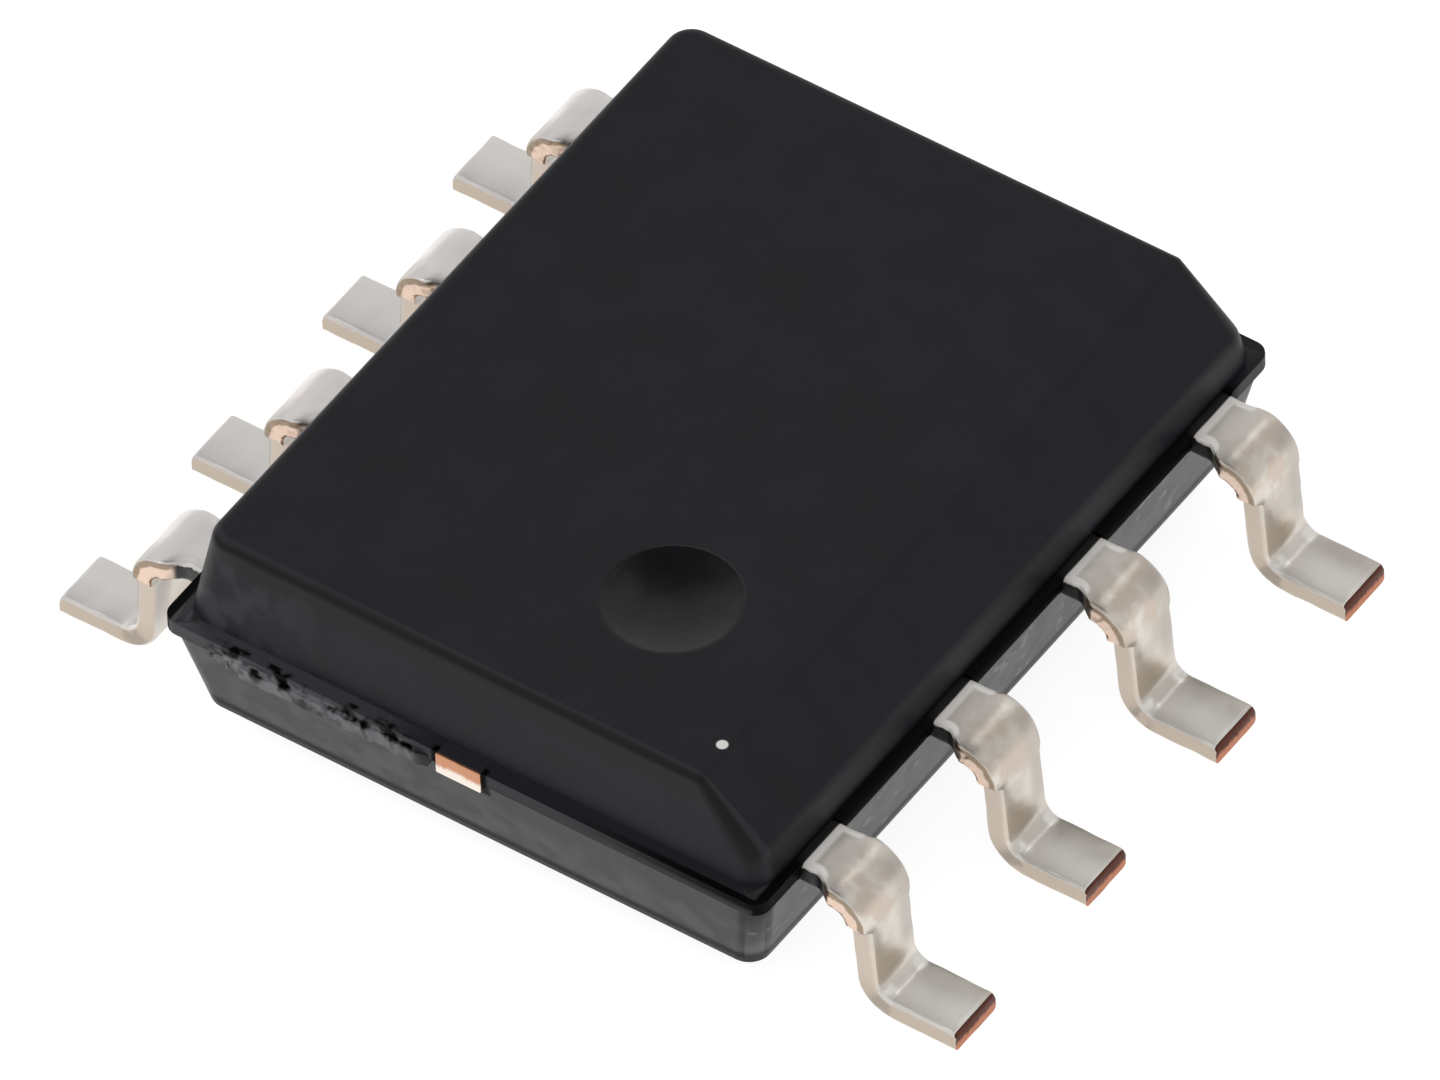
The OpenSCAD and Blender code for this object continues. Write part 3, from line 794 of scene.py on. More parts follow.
# Rolled sheet: an even, warm metal sheen
COPPER = Speckled("rolled_copper", 0.4, 1.0, ground="#c98c6c", fleck="#b87a5c", fleck_mm=0.1)
# Silver flakes in resin: a grey, half-metallic sparkle
SILVER_EPOXY = Speckled("silver_filled_epoxy", 0.5, 0.4, ground="#8c8c86", fleck="#b4b4ae")
# Polished and glassy, with the bluish tint of its passivation
SILICON = Speckled("passivated_silicon", 0.12, 0.3, ground="#3c4454", fleck="#4c5668", fleck_mm=0.2)
# Drawn through a die: smooth and bright
GOLD = Speckled("drawn_gold_wire", 0.22, 1.0, ground="#d8a84e", fleck="#c8983e", fleck_mm=0.02)


def plain_mesh(name: str, tree: NodeTree, values: dict[str, object], start: Mesh | None = None) -> Object:
    """Runs a geometry tree and keeps its result as a plain mesh.

    Args:
        name: name of the new piece.
        tree: the geometry tree.
        values: a value for each input, by the socket's identifier.
        start: the mesh that the tree starts from, if it needs one.

    Returns:
        The piece, at the origin.
    """
    made = bpy.data.objects.new(name, start or bpy.data.meshes.new(name))
    bpy.context.scene.collection.objects.link(made)
    modifier = made.modifiers.new("shape", "NODES")
    modifier.node_group = tree
    for key, value in values.items():
        modifier[key] = value
    evaluated = made.evaluated_get(bpy.context.evaluated_depsgraph_get())
    mesh = bpy.data.meshes.new_from_object(evaluated)
    made.modifiers.remove(modifier)
    mesh.set_sharp_from_angle(angle=math.radians(SHARP_DEG))
    made.data = mesh
    mesh.name = name
    return made


def merged_copy(node: Object, name: str) -> Object:
    """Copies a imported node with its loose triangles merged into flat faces.

    Args:
        node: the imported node's object.
        name: name of the copy.

    Returns:
        The copy, at the origin.
    """
    mesh = node.data.copy()
    mesh.materials.clear()
    work = bmesh.new()
    work.from_mesh(mesh)
    bmesh.ops.remove_doubles(work, verts=work.verts, dist=MERGE_MM * MM)
    bmesh.ops.dissolve_limit(work, angle_limit=math.radians(FLAT_DEG), verts=work.verts, edges=work.edges)
    work.to_mesh(mesh)
    work.free()
    mesh.name = name
    made = bpy.data.objects.new(name, mesh)
    bpy.context.scene.collection.objects.link(made)
    return made


@dataclass
class Lead:
    """One stamped and bent lead. Lengths are millimetres, seen from the lead's own side of the body.

    Attributes:
        number: lead number, counter-clockwise from the dimple.
        finger_x: inner end of the bond finger.
        sheet_z: height of the middle of the sheet.
        tip_x: end of the foot.
        thickness: thickness of the sheet.
        width: width of the lead.
        pitch: spacing of the leads.
        foot_l: length of the flat part of the foot.
        bend_r: inside radius of the bends.
        lean_deg: lean of the leg.
        stub_start: distance from the start of the shoulder bend to where the dam-bar stubs begin.
        stub_full: distance to where they stand out fully.
        stub_end: distance to their end.
        stub_near: how far the stub on the side of the body's near end stands out.
        stub_far: how far the other stub stands out.
        stub_end_share: how much of that is left at a stub's end.
        finger_w: width of the bond finger.
        finger_l: length of its wide part.
        finger_pitch: spacing of the bond fingers.
        edge_r: rounding of the stamped edges.
        tip_r: rounding of the upper edge of the tip.
    """

    number: int
    finger_x: float
    sheet_z: float
    tip_x: float
    thickness: float = 0.15
    width: float = 0.39
    pitch: float = 1.27
    foot_l: float = 0.41
    bend_r: float = 0.105
    lean_deg: float = 4.0
    stub_start: float = -0.1
    stub_full: float = 0.04
    stub_end: float = 0.29
    stub_near: float = 0.08
    stub_far: float = 0.02
    stub_end_share: float = 0.7
    finger_w: float = 0.66
    finger_l: float = 0.25
    finger_pitch: float = 1.19
    edge_r: float = 0.034
    tip_r: float = 0.035

    @property
    def turned(self) -> bool:
        """Whether the lead is in the second row, which is the first one turned half round."""
        return self.number > LEADS_PER_ROW

    @property
    def row(self) -> float:
        """Place along the body, in steps of the pitch, seen from the lead's own side."""
        return (self.number - 1) % LEADS_PER_ROW - (LEADS_PER_ROW - 1) / 2

    def sizes(self) -> dict[str, float]:
        """Works out the named inputs of the lead's geometry tree.

        Returns:
            A value for each input of that name.
        """
        mid_r = self.bend_r + self.thickness / 2
        lean = math.radians(self.lean_deg)
        tangent = mid_r * math.tan((math.pi / 2 - lean) / 2)
        foot_corner = self.tip_x - self.foot_l - tangent
        shoulder_corner = foot_corner - (self.sheet_z - self.thickness / 2) * math.tan(lean)
        stubs = (self.stub_near, self.stub_far)
        minus_stub, plus_stub = stubs[::-1] if self.turned else stubs
        return {
            "Finger start": self.finger_x, "Shoulder corner": shoulder_corner, "Foot corner": foot_corner,
            "Foot tip": self.tip_x, "Sheet height": self.sheet_z, "Thickness": self.thickness,
            "Width": self.width, "Bend radius": mid_r, "Edge rounding": self.edge_r,
            "Bend start": shoulder_corner - tangent - self.finger_x, "Stub start": self.stub_start,
            "Stub full": self.stub_full, "Stub end": self.stub_end, "Minus stub": minus_stub,
            "Plus stub": plus_stub, "Stub end share": self.stub_end_share,
            "Finger end": self.finger_x + self.finger_l,
            "Finger taper": (self.finger_w - self.width) / 2,
            "Finger widening": self.finger_w / self.width - 1,
            "Finger aside": self.row * (self.finger_pitch - self.pitch), "Row": self.row * self.pitch,
            "Turn": math.pi if self.turned else 0.0, "Tip rounding": self.tip_r,
            "Seed": float(self.number),
        }


class LeadTree:
    """Geometry Nodes tree that sweeps a rounded strip along a lead's bent centre line, in millimetres.

    The strip keeps the distance past the start of its shoulder bend as "past", and each point's place in its
    section as "flank", from side to side, and "level", from the lower face to the upper one, both from -1 to
    1. The cut faces of the stubs are kept as "shear".

    Attributes:
        INPUTS: names of the tree's inputs.
        STATION_MM: length of a step along the strip.
        BEND_STEPS, EDGE_STEPS, SECTION_CUTS: steps round a bend and round an edge, and cuts in each side of
            the section.
        STUB_SOFT_MM: length over which a stub ends.
        STUB_BAND: place in the section over which a stub stands out.
        CUT_BAND: place of its cut face.
        MIDDLE_BAND: place at which one stub's size gives way to the other's.
        TEARS_PER_MM, TEAR_DETAIL, TEAR_LEVELS: pattern of the tears in the cut faces.
        TEAR_BAND: levels at which the cut is smooth and fully torn.
        TEAR_MM: depth of the tears.
        SWELLS_PER_MM, SWELL_DETAIL, SWELL_LEVELS: pattern of the plating's swells.
        SWELL_MM: height of the swells.
        TIP_POWER: how late the rounding of the tip sets in.
        TIP_FACING: how far a face of the cut tip faces outwards at least.
    """

    INPUTS = ("Finger start", "Shoulder corner", "Foot corner", "Foot tip", "Sheet height", "Thickness",
              "Width", "Bend radius", "Edge rounding", "Bend start", "Stub start", "Stub full", "Stub end",
              "Minus stub", "Plus stub", "Stub end share", "Finger end", "Finger taper", "Finger widening",
              "Finger aside", "Row", "Turn", "Tip rounding", "Seed")
    STATION_MM = 0.012
    BEND_STEPS = 16
    EDGE_STEPS = 3
    SECTION_CUTS = 4
    # Curve to Mesh turns the section half round, so places in it count backwards, in half sizes
    TURNED_HALVES = -2.0
    STUB_SOFT_MM = 0.05
    STUB_BAND = (0.0, 0.8)
    CUT_BAND = (0.9, 0.99)
    MIDDLE_BAND = (-0.01, 0.01)
    TEARS_PER_MM = 18.0
    TEAR_DETAIL = 2.0
    TEAR_LEVELS = (0.3, 0.7)
    TEAR_BAND = (0.9, 0.2)
    TEAR_MM = 0.012
    SWELLS_PER_MM = 5.0
    SWELL_DETAIL = 1.0
    SWELL_LEVELS = (0.75, 0.25)
    SWELL_MM = 0.005
    TIP_POWER = 3.0
    TIP_FACING = 0.8

    def __init__(self) -> None:
        """Builds the tree."""
        t = self.tree = bpy.data.node_groups.new("stamped_lead", "GeometryNodeTree")
        self.ids = {name: t.interface.new_socket(name, in_out="INPUT", socket_type="NodeSocketFloat").identifier
                    for name in self.INPUTS}
        t.interface.new_socket("Geometry", in_out="OUTPUT", socket_type="NodeSocketGeometry")
        self.sizes = add(t, "NodeGroupInput").outputs
        self.past, self.flank, self.level = (
            add(t, "GeometryNodeInputNamedAttribute", {"Name": name}, data_type="FLOAT")
            for name in ("past", "flank", "level"))
        self.place = add(t, "GeometryNodeInputPosition")
        add(t, "NodeGroupOutput", {0: self.dress(self.uneven(self.shape(self.sweep())))})

    def sweep(self) -> Node:
        """Sweeps the strip's rounded section along the bent centre line.

        Returns:
            The strip.
        """
        t, s = self.tree, self.sizes
        low = add(t, "ShaderNodeMath", {0: s["Thickness"], 1: 2.0}, operation="DIVIDE")
        corners = [("Finger start", s["Sheet height"]), ("Shoulder corner", s["Sheet height"]),
                   ("Foot corner", low), ("Foot tip", low)]
        pick = add(t, "GeometryNodeIndexSwitch", {0: add(t, "GeometryNodeInputIndex")}, data_type="VECTOR")
        while len(pick.index_switch_items) < len(corners):
            pick.index_switch_items.new()
        for k, (x, z) in enumerate(corners):
            t.links.new(add(t, "ShaderNodeCombineXYZ", {0: s[x], 2: z}).outputs[0], pick.inputs[k + 1])
        line = add(t, "GeometryNodeMeshLine", {"Count": len(corners)})
        placed = add(t, "GeometryNodeSetPosition", {0: line, "Position": pick})
        path = add(t, "GeometryNodeMeshToCurve", {0: placed})
        smooth = add(t, "GeometryNodeFilletCurve", {0: path, "Count": self.BEND_STEPS,
                                                    "Radius": s["Bend radius"]}, mode="POLY")
        even = add(t, "GeometryNodeResampleCurve", {0: smooth, "Length": self.STATION_MM}, mode="LENGTH")
        along = add(t, "GeometryNodeSplineParameter").outputs["Length"]
        past = add(t, "ShaderNodeMath", {0: along, 1: s["Bend start"]}, operation="SUBTRACT")
        even = add(t, "GeometryNodeStoreNamedAttribute", {0: even, "Name": "past", "Value": past})
        outline = add(t, "GeometryNodeCurvePrimitiveQuadrilateral", {"Width": s["Width"],
                                                                     "Height": s["Thickness"]})
        rounded = add(t, "GeometryNodeFilletCurve", {0: outline, "Count": self.EDGE_STEPS,
                                                     "Radius": s["Edge rounding"]}, mode="POLY")
        section = add(t, "GeometryNodeSubdivideCurve", {0: rounded, "Cuts": self.SECTION_CUTS})
        across, up, _ = add(t, "ShaderNodeSeparateXYZ", {0: self.place}).outputs
        for name, distance, size in (("flank", across, "Width"), ("level", up, "Thickness")):
            part = add(t, "ShaderNodeMath", {0: distance, 1: s[size]}, operation="DIVIDE")
            value = add(t, "ShaderNodeMath", {0: part, 1: self.TURNED_HALVES}, operation="MULTIPLY")
            section = add(t, "GeometryNodeStoreNamedAttribute", {0: section, "Name": name, "Value": value})
        return add(t, "GeometryNodeCurveToMesh", {"Curve": even, "Profile Curve": section, "Fill Caps": True})

    def shape(self, strip: Node) -> Node:
        """Widens the bond finger and the dam-bar stubs and rounds the tip.

        Args:
            strip: the plain swept strip.

        Returns:
            The shaped lead, still in its own frame.
        """
        t, s, past = self.tree, self.sizes, self.past
        x, y, _ = add(t, "ShaderNodeSeparateXYZ", {0: self.place}).outputs
        side = add(t, "ShaderNodeMath", {0: self.flank}, operation="ABSOLUTE")
        way = add(t, "ShaderNodeMath", {0: self.flank}, operation="SIGN")
        left = add(t, "ShaderNodeMapRange", {"Value": past, "From Min": s["Stub full"],
                                             "From Max": s["Stub end"], "To Max": s["Stub end share"],
                                             "To Min": 1.0})
        minus, plus = self.MIDDLE_BAND
        widest = add(t, "ShaderNodeMapRange", {"Value": self.flank, "From Min": minus, "From Max": plus,
                                               "To Min": s["Minus stub"], "To Max": s["Plus stub"]})
        proud = add(t, "ShaderNodeMath", {0: left, 1: widest}, operation="MULTIPLY")
        beyond = add(t, "ShaderNodeMath", {0: s["Stub end"], 1: self.STUB_SOFT_MM}, operation="ADD")
        along = ((past, s["Stub start"], s["Stub full"]), (past, beyond, s["Stub end"]))
        stub = share(t, *along, (side, *self.STUB_BAND), most=proud)
        cut = share(t, (side, *self.CUT_BAND), *along)
        tear = add(t, "ShaderNodeTexNoise", {"Vector": self.place, "W": s["Seed"], "Scale": self.TEARS_PER_MM,
                                             "Detail": self.TEAR_DETAIL}, noise_dimensions="4D")
        sunk = share(t, (tear, *self.TEAR_LEVELS), (self.level, *self.TEAR_BAND), (cut, *WHOLE),
                     most=self.TEAR_MM)
        out = add(t, "ShaderNodeMath", {0: stub, 1: sunk}, operation="SUBTRACT")

        taper_end = add(t, "ShaderNodeMath", {0: s["Finger end"], 1: s["Finger taper"]}, operation="ADD")
        finger = add(t, "ShaderNodeMapRange", {"Value": x, "From Min": taper_end, "From Max": s["Finger end"]})
        spread = add(t, "ShaderNodeMath", {0: y, 1: s["Finger widening"], 2: s["Finger aside"]},
                     operation="MULTIPLY_ADD")
        fanned = add(t, "ShaderNodeMath", {0: finger, 1: spread}, operation="MULTIPLY")
        sideways = add(t, "ShaderNodeMath", {0: out, 1: way, 2: fanned}, operation="MULTIPLY_ADD")

        tip_start = add(t, "ShaderNodeMath", {0: s["Foot tip"], 1: s["Tip rounding"]}, operation="SUBTRACT")
        to_tip = add(t, "ShaderNodeMapRange", {"Value": x, "From Min": tip_start, "From Max": s["Foot tip"]})
        curl = add(t, "ShaderNodeMath", {0: to_tip, 1: self.TIP_POWER}, operation="POWER")
        fall = add(t, "ShaderNodeMath", {0: curl, 1: s["Tip rounding"]}, operation="MULTIPLY")
        height = add(t, "ShaderNodeMapRange", {"Value": self.level, "From Min": -1.0, "To Max": -1.0})
        down = add(t, "ShaderNodeMath", {0: fall, 1: height}, operation="MULTIPLY")
        shift = add(t, "ShaderNodeCombineXYZ", {1: sideways, 2: down})
        marked = add(t, "GeometryNodeStoreNamedAttribute", {0: strip, "Name": "shear", "Value": cut})
        return add(t, "GeometryNodeSetPosition", {0: marked, "Offset": shift})

    def uneven(self, lead: Node) -> Node:
        """Makes the plating a little uneven.

        Args:
            lead: the shaped lead.

        Returns:
            The lead with low swells, which only go inwards.
        """
        t = self.tree
        swell = add(t, "ShaderNodeTexNoise", {"Vector": self.place, "W": self.sizes["Seed"],
                                              "Scale": self.SWELLS_PER_MM, "Detail": self.SWELL_DETAIL},
                    noise_dimensions="4D")
        depth = share(t, (swell, *self.SWELL_LEVELS), most=-self.SWELL_MM)
        sink = add(t, "ShaderNodeVectorMath", {0: add(t, "GeometryNodeInputNormal"), "Scale": depth},
                   operation="SCALE")
        return add(t, "GeometryNodeSetPosition", {0: lead, "Offset": sink})

    def dress(self, lead: Node) -> Node:
        """Puts the lead in its row and gives it its tin and the bared copper of its tip.

        Args:
            lead: the shaped lead in its own frame.

        Returns:
            The finished geometry in metres.
        """
        t, s = self.tree, self.sizes
        facing = add(t, "ShaderNodeSeparateXYZ", {0: add(t, "GeometryNodeInputNormal")})
        x = add(t, "ShaderNodeSeparateXYZ", {0: self.place})
        last = add(t, "ShaderNodeMath", {0: s["Foot tip"], 1: self.STATION_MM}, operation="SUBTRACT")
        at_tip = add(t, "FunctionNodeCompare", {0: x, 1: last}, operation="GREATER_THAN")
        outward = add(t, "FunctionNodeCompare", {0: facing, 1: self.TIP_FACING}, operation="GREATER_THAN")
        tip = add(t, "FunctionNodeBooleanMath", {0: at_tip, 1: outward}, operation="AND")
        noted = add(t, "GeometryNodeStoreNamedAttribute", {0: lead, "Name": "tip", "Value": tip},
                    data_type="BOOLEAN", domain="FACE")
        along_row = add(t, "ShaderNodeCombineXYZ", {1: s["Row"]})
        turn = add(t, "ShaderNodeCombineXYZ", {2: s["Turn"]})
        in_row = add(t, "GeometryNodeTransform", {0: noted, "Translation": along_row})
        turned = add(t, "GeometryNodeTransform", {0: in_row, "Rotation": turn, "Scale": (MM,) * 3})
        whole = add(t, "GeometryNodeRealizeInstances", {0: add(t, "GeometryNodeSetShadeSmooth", {0: turned})})
        tinned = add(t, "GeometryNodeSetMaterial", {0: whole, "Material": TIN.material()})
        at_cut = add(t, "GeometryNodeInputNamedAttribute", {"Name": "tip"}, data_type="BOOLEAN")
        return add(t, "GeometryNodeSetMaterial", {0: tinned, "Selection": at_cut,
                                                  "Material": TIP_COPPER.material()})

    def grow(self, name: str, sizes: dict[str, float]) -> Object:
        """Evaluates the tree for one lead.

        Args:
            name: name of the new piece.
            sizes: a value for each named input.

        Returns:
            A plain mesh object.
        """
        return plain_mesh(name, self.tree, {self.ids[key]: value for key, value in sizes.items()})


@dataclass
class LeadFrame:
    """The eight leads and the die pad, stamped from one sheet.

    Attributes:
        nodes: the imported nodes.
        tie_start_mm: distance from the middle of the body past which the die pad's tie bars show.
        sheared_edge_mm: rounding of the die pad's sheared edges.
        edge_deg: angle past which an edge is one of them.
        edge_segments: steps round it.
    """

    nodes: dict[str, Object]
    tie_start_mm: float = 2.4
    sheared_edge_mm: float = 0.008
    edge_deg: float = 40.0
    edge_segments: int = 2

    def build(self) -> list[Object]:
        """Makes the leads and the die pad.

        Returns:
            The pieces.
        """
        tree = LeadTree()
        pieces = []
        for number in LEAD_NUMBERS:
            node = f"lead_{number}"
            low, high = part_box(node)
            reach = [abs(low.x), abs(high.x)]
            lead = Lead(number, min(reach) / MM, high.z / MM - Lead.thickness / 2, max(reach) / MM)
            piece = tree.grow(f"{node}_plated", lead.sizes())
            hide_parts(node)
            pieces.append(piece)
        return [*pieces, self.die_pad()]

    def die_pad(self) -> Object:
        """Makes the die pad, with the sheared ends of its tie bars.

        Returns:
            The piece.
        """
        pad = merged_copy(self.nodes["die_pad"], "die_pad_sheared")
        for finish in (COPPER, TIE_COPPER):
            pad.data.materials.append(finish.material())
        for face in pad.data.polygons:
            furthest = max(abs(pad.data.vertices[v].co.y) for v in face.vertices)
            face.material_index = int(furthest > self.tie_start_mm * MM)
        rounding = pad.modifiers.new("sheared edges", "BEVEL")
        rounding.width = self.sheared_edge_mm * MM
        rounding.limit_method = "ANGLE"
        rounding.angle_limit = math.radians(self.edge_deg)
        rounding.segments = self.edge_segments
        rounding.use_clamp_overlap = False
        rounding.harden_normals = True
        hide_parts("die_pad")
        return pad


class CrumbTree:
    """Geometry Nodes tree that strews small broken crumbs along the edges of its start mesh, in millimetres.

    Attributes:
        INPUTS: names and kinds of the tree's inputs.
        BALL_R: radius of the ball that each crumb is scaled from, which is 1 across.
        FLATTEST: least size of a crumb along one axis, as a share of its size.
    """

    INPUTS = (("Spacing", "NodeSocketFloat"), ("Scatter", "NodeSocketVector"), ("Smallest", "NodeSocketFloat"),
              ("Largest", "NodeSocketFloat"), ("Seed", "NodeSocketInt"))
    BALL_R = 0.5
    FLATTEST = 0.5

    def __init__(self) -> None:
        """Builds the tree."""
        t = self.tree = bpy.data.node_groups.new("crumbs", "GeometryNodeTree")
        t.interface.new_socket("Geometry", in_out="INPUT", socket_type="NodeSocketGeometry")
        self.ids = {name: t.interface.new_socket(name, in_out="INPUT", socket_type=kind).identifier
                    for name, kind in self.INPUTS}
        t.interface.new_socket("Geometry", in_out="OUTPUT", socket_type="NodeSocketGeometry")
        s = add(t, "NodeGroupInput").outputs
        path = add(t, "GeometryNodeMeshToCurve", {0: s["Geometry"]})
        places = add(t, "GeometryNodeCurveToPoints", {0: path, "Length": s["Spacing"]}, mode="LENGTH")
        back = add(t, "ShaderNodeVectorMath", {0: s["Scatter"], "Scale": -1.0}, operation="SCALE")
        stray = add(t, "FunctionNodeRandomValue", {0: back, 1: s["Scatter"], "Seed": s["Seed"]},
                    data_type="FLOAT_VECTOR")
        strewn = add(t, "GeometryNodeSetPosition", {0: places, "Offset": stray})
        seed = add(t, "ShaderNodeMath", {0: s["Seed"], 1: 1.0}, operation="ADD")
        turn = add(t, "FunctionNodeRandomValue", {1: (math.tau,) * 3, "Seed": seed}, data_type="FLOAT_VECTOR")
        size = add(t, "FunctionNodeRandomValue", {2: s["Smallest"], 3: s["Largest"], "Seed": seed},
                   data_type="FLOAT")
        squash = add(t, "FunctionNodeRandomValue", {0: (self.FLATTEST,) * 3, 1: (1.0,) * 3,
                                                    "Seed": s["Seed"]}, data_type="FLOAT_VECTOR")
        scale = add(t, "ShaderNodeVectorMath", {0: squash, "Scale": size}, operation="SCALE")
        crumb = add(t, "GeometryNodeMeshIcoSphere", {"Radius": self.BALL_R, "Subdivisions": 1})
        rotation = add(t, "FunctionNodeEulerToRotation", {0: turn})
        strewn = add(t, "GeometryNodeInstanceOnPoints", {0: strewn, "Instance": crumb, "Rotation": rotation,
                                                         "Scale": scale})
        sized = add(t, "GeometryNodeTransform", {0: strewn, "Scale": (MM,) * 3})
        whole = add(t, "GeometryNodeRealizeInstances", {0: sized})
        made = add(t, "GeometryNodeSetMaterial", {0: whole, "Material": BROKEN_EPOXY.material()})
        add(t, "NodeGroupOutput", {0: made})

    def strew(self, name: str, run: tuple[Point, Point], values: dict[str, object]) -> Object:
        """Strews crumbs along a straight run.

        Args:
            name: name of the new piece.
            run: start and end of the run, in millimetres.
            values: a value for each named input.

        Returns:
            A plain mesh object.
        """
        mesh = bpy.data.meshes.new(f"{name}_run")
        mesh.from_pydata(run, [(0, 1)], [])
        return plain_mesh(name, self.tree, {self.ids[key]: value for key, value in values.items()}, mesh)


@dataclass
class MouldedBody:
    """The moulded body, with its finely dished dimple and the crumbs of resin left by the mould.

    Attributes:
        nodes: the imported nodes.
        dimple_mm: middle of the dimple.
        dimple_d: diameter of the dimple.
        dimple_depth: depth of the dimple.
        dish_sides: points round the dimple.
        dish_rings: rings of faces in the dimple.
        margin: width of the flat strip round the dimple and along the top rim.
        near: tolerance on the height of the top face.
        dish_slack: how much deeper than the dimple its packed faces are looked for.
        gate_run: start and end of the broken edge of the gate.
        crumb_spacing: spacing of the crumbs along it.
        crumb_scatter: how far they stray from it along each axis.
        crumb_sizes: smallest and largest crumb.
        crumb_seed: seed of their draws.
    """

    nodes: dict[str, Object]
    dimple_mm: Pair = (0.63, -1.32)
    dimple_d: float = 0.8
    dimple_depth: float = 0.08
    dish_sides: int = 72
    dish_rings: int = 14
    margin: float = 0.02
    near: float = 0.001
    dish_slack: float = 1.2
    gate_run: tuple[Point, Point] = ((-1.66, -2.492, 0.815), (-0.3, -2.492, 0.79))
    crumb_spacing: float = 0.075
    crumb_scatter: Point = (0.03, 0.005, 0.025)
    crumb_sizes: Pair = (0.03, 0.075)
    crumb_seed: int = 5

    def build(self) -> list[Object]:
        """Makes the body and its crumbs.

        Returns:
            The pieces.
        """
        body = merged_copy(self.nodes["moulded_body"], "moulded_body_skin")
        for finish in (EPOXY, DIMPLE_EPOXY):
            body.data.materials.append(finish.material())
        work = bmesh.new()
        work.from_mesh(body.data)
        self.refine_top(work)
        work.to_mesh(body.data)
        work.free()
        body.data.shade_smooth()
        body.data.set_sharp_from_angle(angle=math.radians(SHARP_DEG))
        body.modifiers.new("even shading", "WEIGHTED_NORMAL").keep_sharp = True
        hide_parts("moulded_body")
        return [body, self.crumbs()]

    def refine_top(self, work: BMesh) -> None:
        """Makes the top face anew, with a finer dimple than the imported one.

        Args:
            work: the merged body, which is changed.
        """
        middle = Vector((*self.dimple_mm, 0)) * MM
        radius, depth, margin, near = (
            v * MM for v in (self.dimple_d / 2, self.dimple_depth, self.margin, self.near))
        top = max(v.co.z for v in work.verts)
        dished = [f for f in work.faces if all((v.co - middle).xy.length < radius + margin for v in f.verts)
                  and min(v.co.z for v in f.verts) > top - self.dish_slack * depth]
        flat = [f for f in work.faces if all(v.co.z > top - near for v in f.verts)]
        bmesh.ops.delete(work, geom=list({*dished, *flat}), context="FACES")
        rim = [e for e in work.edges if e.is_boundary and all(v.co.z > top - near for v in e.verts)]
        spots = [v.co for e in rim for v in e.verts]
        low = Vector(min(p[k] for p in spots) for k in range(3))
        high = Vector(max(p[k] for p in spots) for k in range(3))
        centre, half = (low + high) / 2, (high - low) / 2
        shrink = [1 - margin / half[k] for k in range(2)]
        inset = {v: work.verts.new((centre.x + (v.co.x - centre.x) * shrink[0],
                                    centre.y + (v.co.y - centre.y) * shrink[1], top))
                 for e in rim for v in e.verts}
        border = []
        for edge in rim:
            a, b = edge.verts
            work.faces.new((a, b, inset[b], inset[a]))
            border.append(work.edges.get((inset[a], inset[b])))
        outer = self.ring(work, middle, radius + margin, top)
        border += [work.edges.new((outer[k - 1], outer[k])) for k in range(self.dish_sides)]
        bmesh.ops.triangle_fill(work, edges=border, use_beauty=True, normal=(0, 0, 1))
        ball = (radius ** 2 + depth ** 2) / (2 * depth)
        for k in range(self.dish_rings):
            reach = radius * (1 - k / self.dish_rings)
            inner = self.ring(work, middle, reach, top - depth + ball - math.sqrt(ball ** 2 - reach ** 2))
            for j in range(self.dish_sides):
                face = work.faces.new((outer[j - 1], outer[j], inner[j], inner[j - 1]))
                face.material_index = int(k > 0)
            outer = inner
        work.faces.new(outer).material_index = 1
        bmesh.ops.recalc_face_normals(work, faces=work.faces)

    def ring(self, work: BMesh, middle: Vector, reach: float, height: float) -> list[BMVert]:
        """Adds a ring of points round the dimple's axis.

        Args:
            work: the mesh.
            middle: the axis.
            reach: radius of the ring.
            height: height of the ring.

        Returns:
            The points in order.
        """
        turns = [math.tau * k / self.dish_sides for k in range(self.dish_sides)]
        return [work.verts.new((middle.x + reach * math.cos(a), middle.y + reach * math.sin(a), height))
                for a in turns]

    def crumbs(self) -> Object:
        """Strews broken resin along the gate.

        Returns:
            The crumbs.
        """
        smallest, largest = self.crumb_sizes
        crumbs = CrumbTree().strew("gate_crumbs", self.gate_run, {
            "Spacing": self.crumb_spacing, "Scatter": self.crumb_scatter, "Smallest": smallest,
            "Largest": largest, "Seed": self.crumb_seed})
        return crumbs


@dataclass
class Chip:
    """The die, its attach layer and the bond wires, which stay as packed.

    Attributes:
        nodes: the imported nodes.
    """

    nodes: dict[str, Object]

    def dress(self) -> None:
        """Gives each sealed piece its finish."""
        finishes = {"die": SILICON, "die_attach": SILVER_EPOXY}
        finishes.update({f"bond_wire_{k}": GOLD for k in LEAD_NUMBERS})
        for name, finish in finishes.items():
            mesh = self.nodes[name].data
            mesh.materials.clear()
            mesh.materials.append(finish.material())


def towards(azimuth_deg: float, elevation_deg: float) -> Vector:
    """Finds the direction from the object to a place round it.

    Args:
        azimuth_deg: turn round the object, from the near end towards leads 1 to 4.
        elevation_deg: height above the horizon.

    Returns:
        The direction.
    """
    az, el = math.radians(azimuth_deg), math.radians(elevation_deg)
    return Vector((math.sin(az) * math.cos(el), -math.cos(az) * math.cos(el), math.sin(el)))


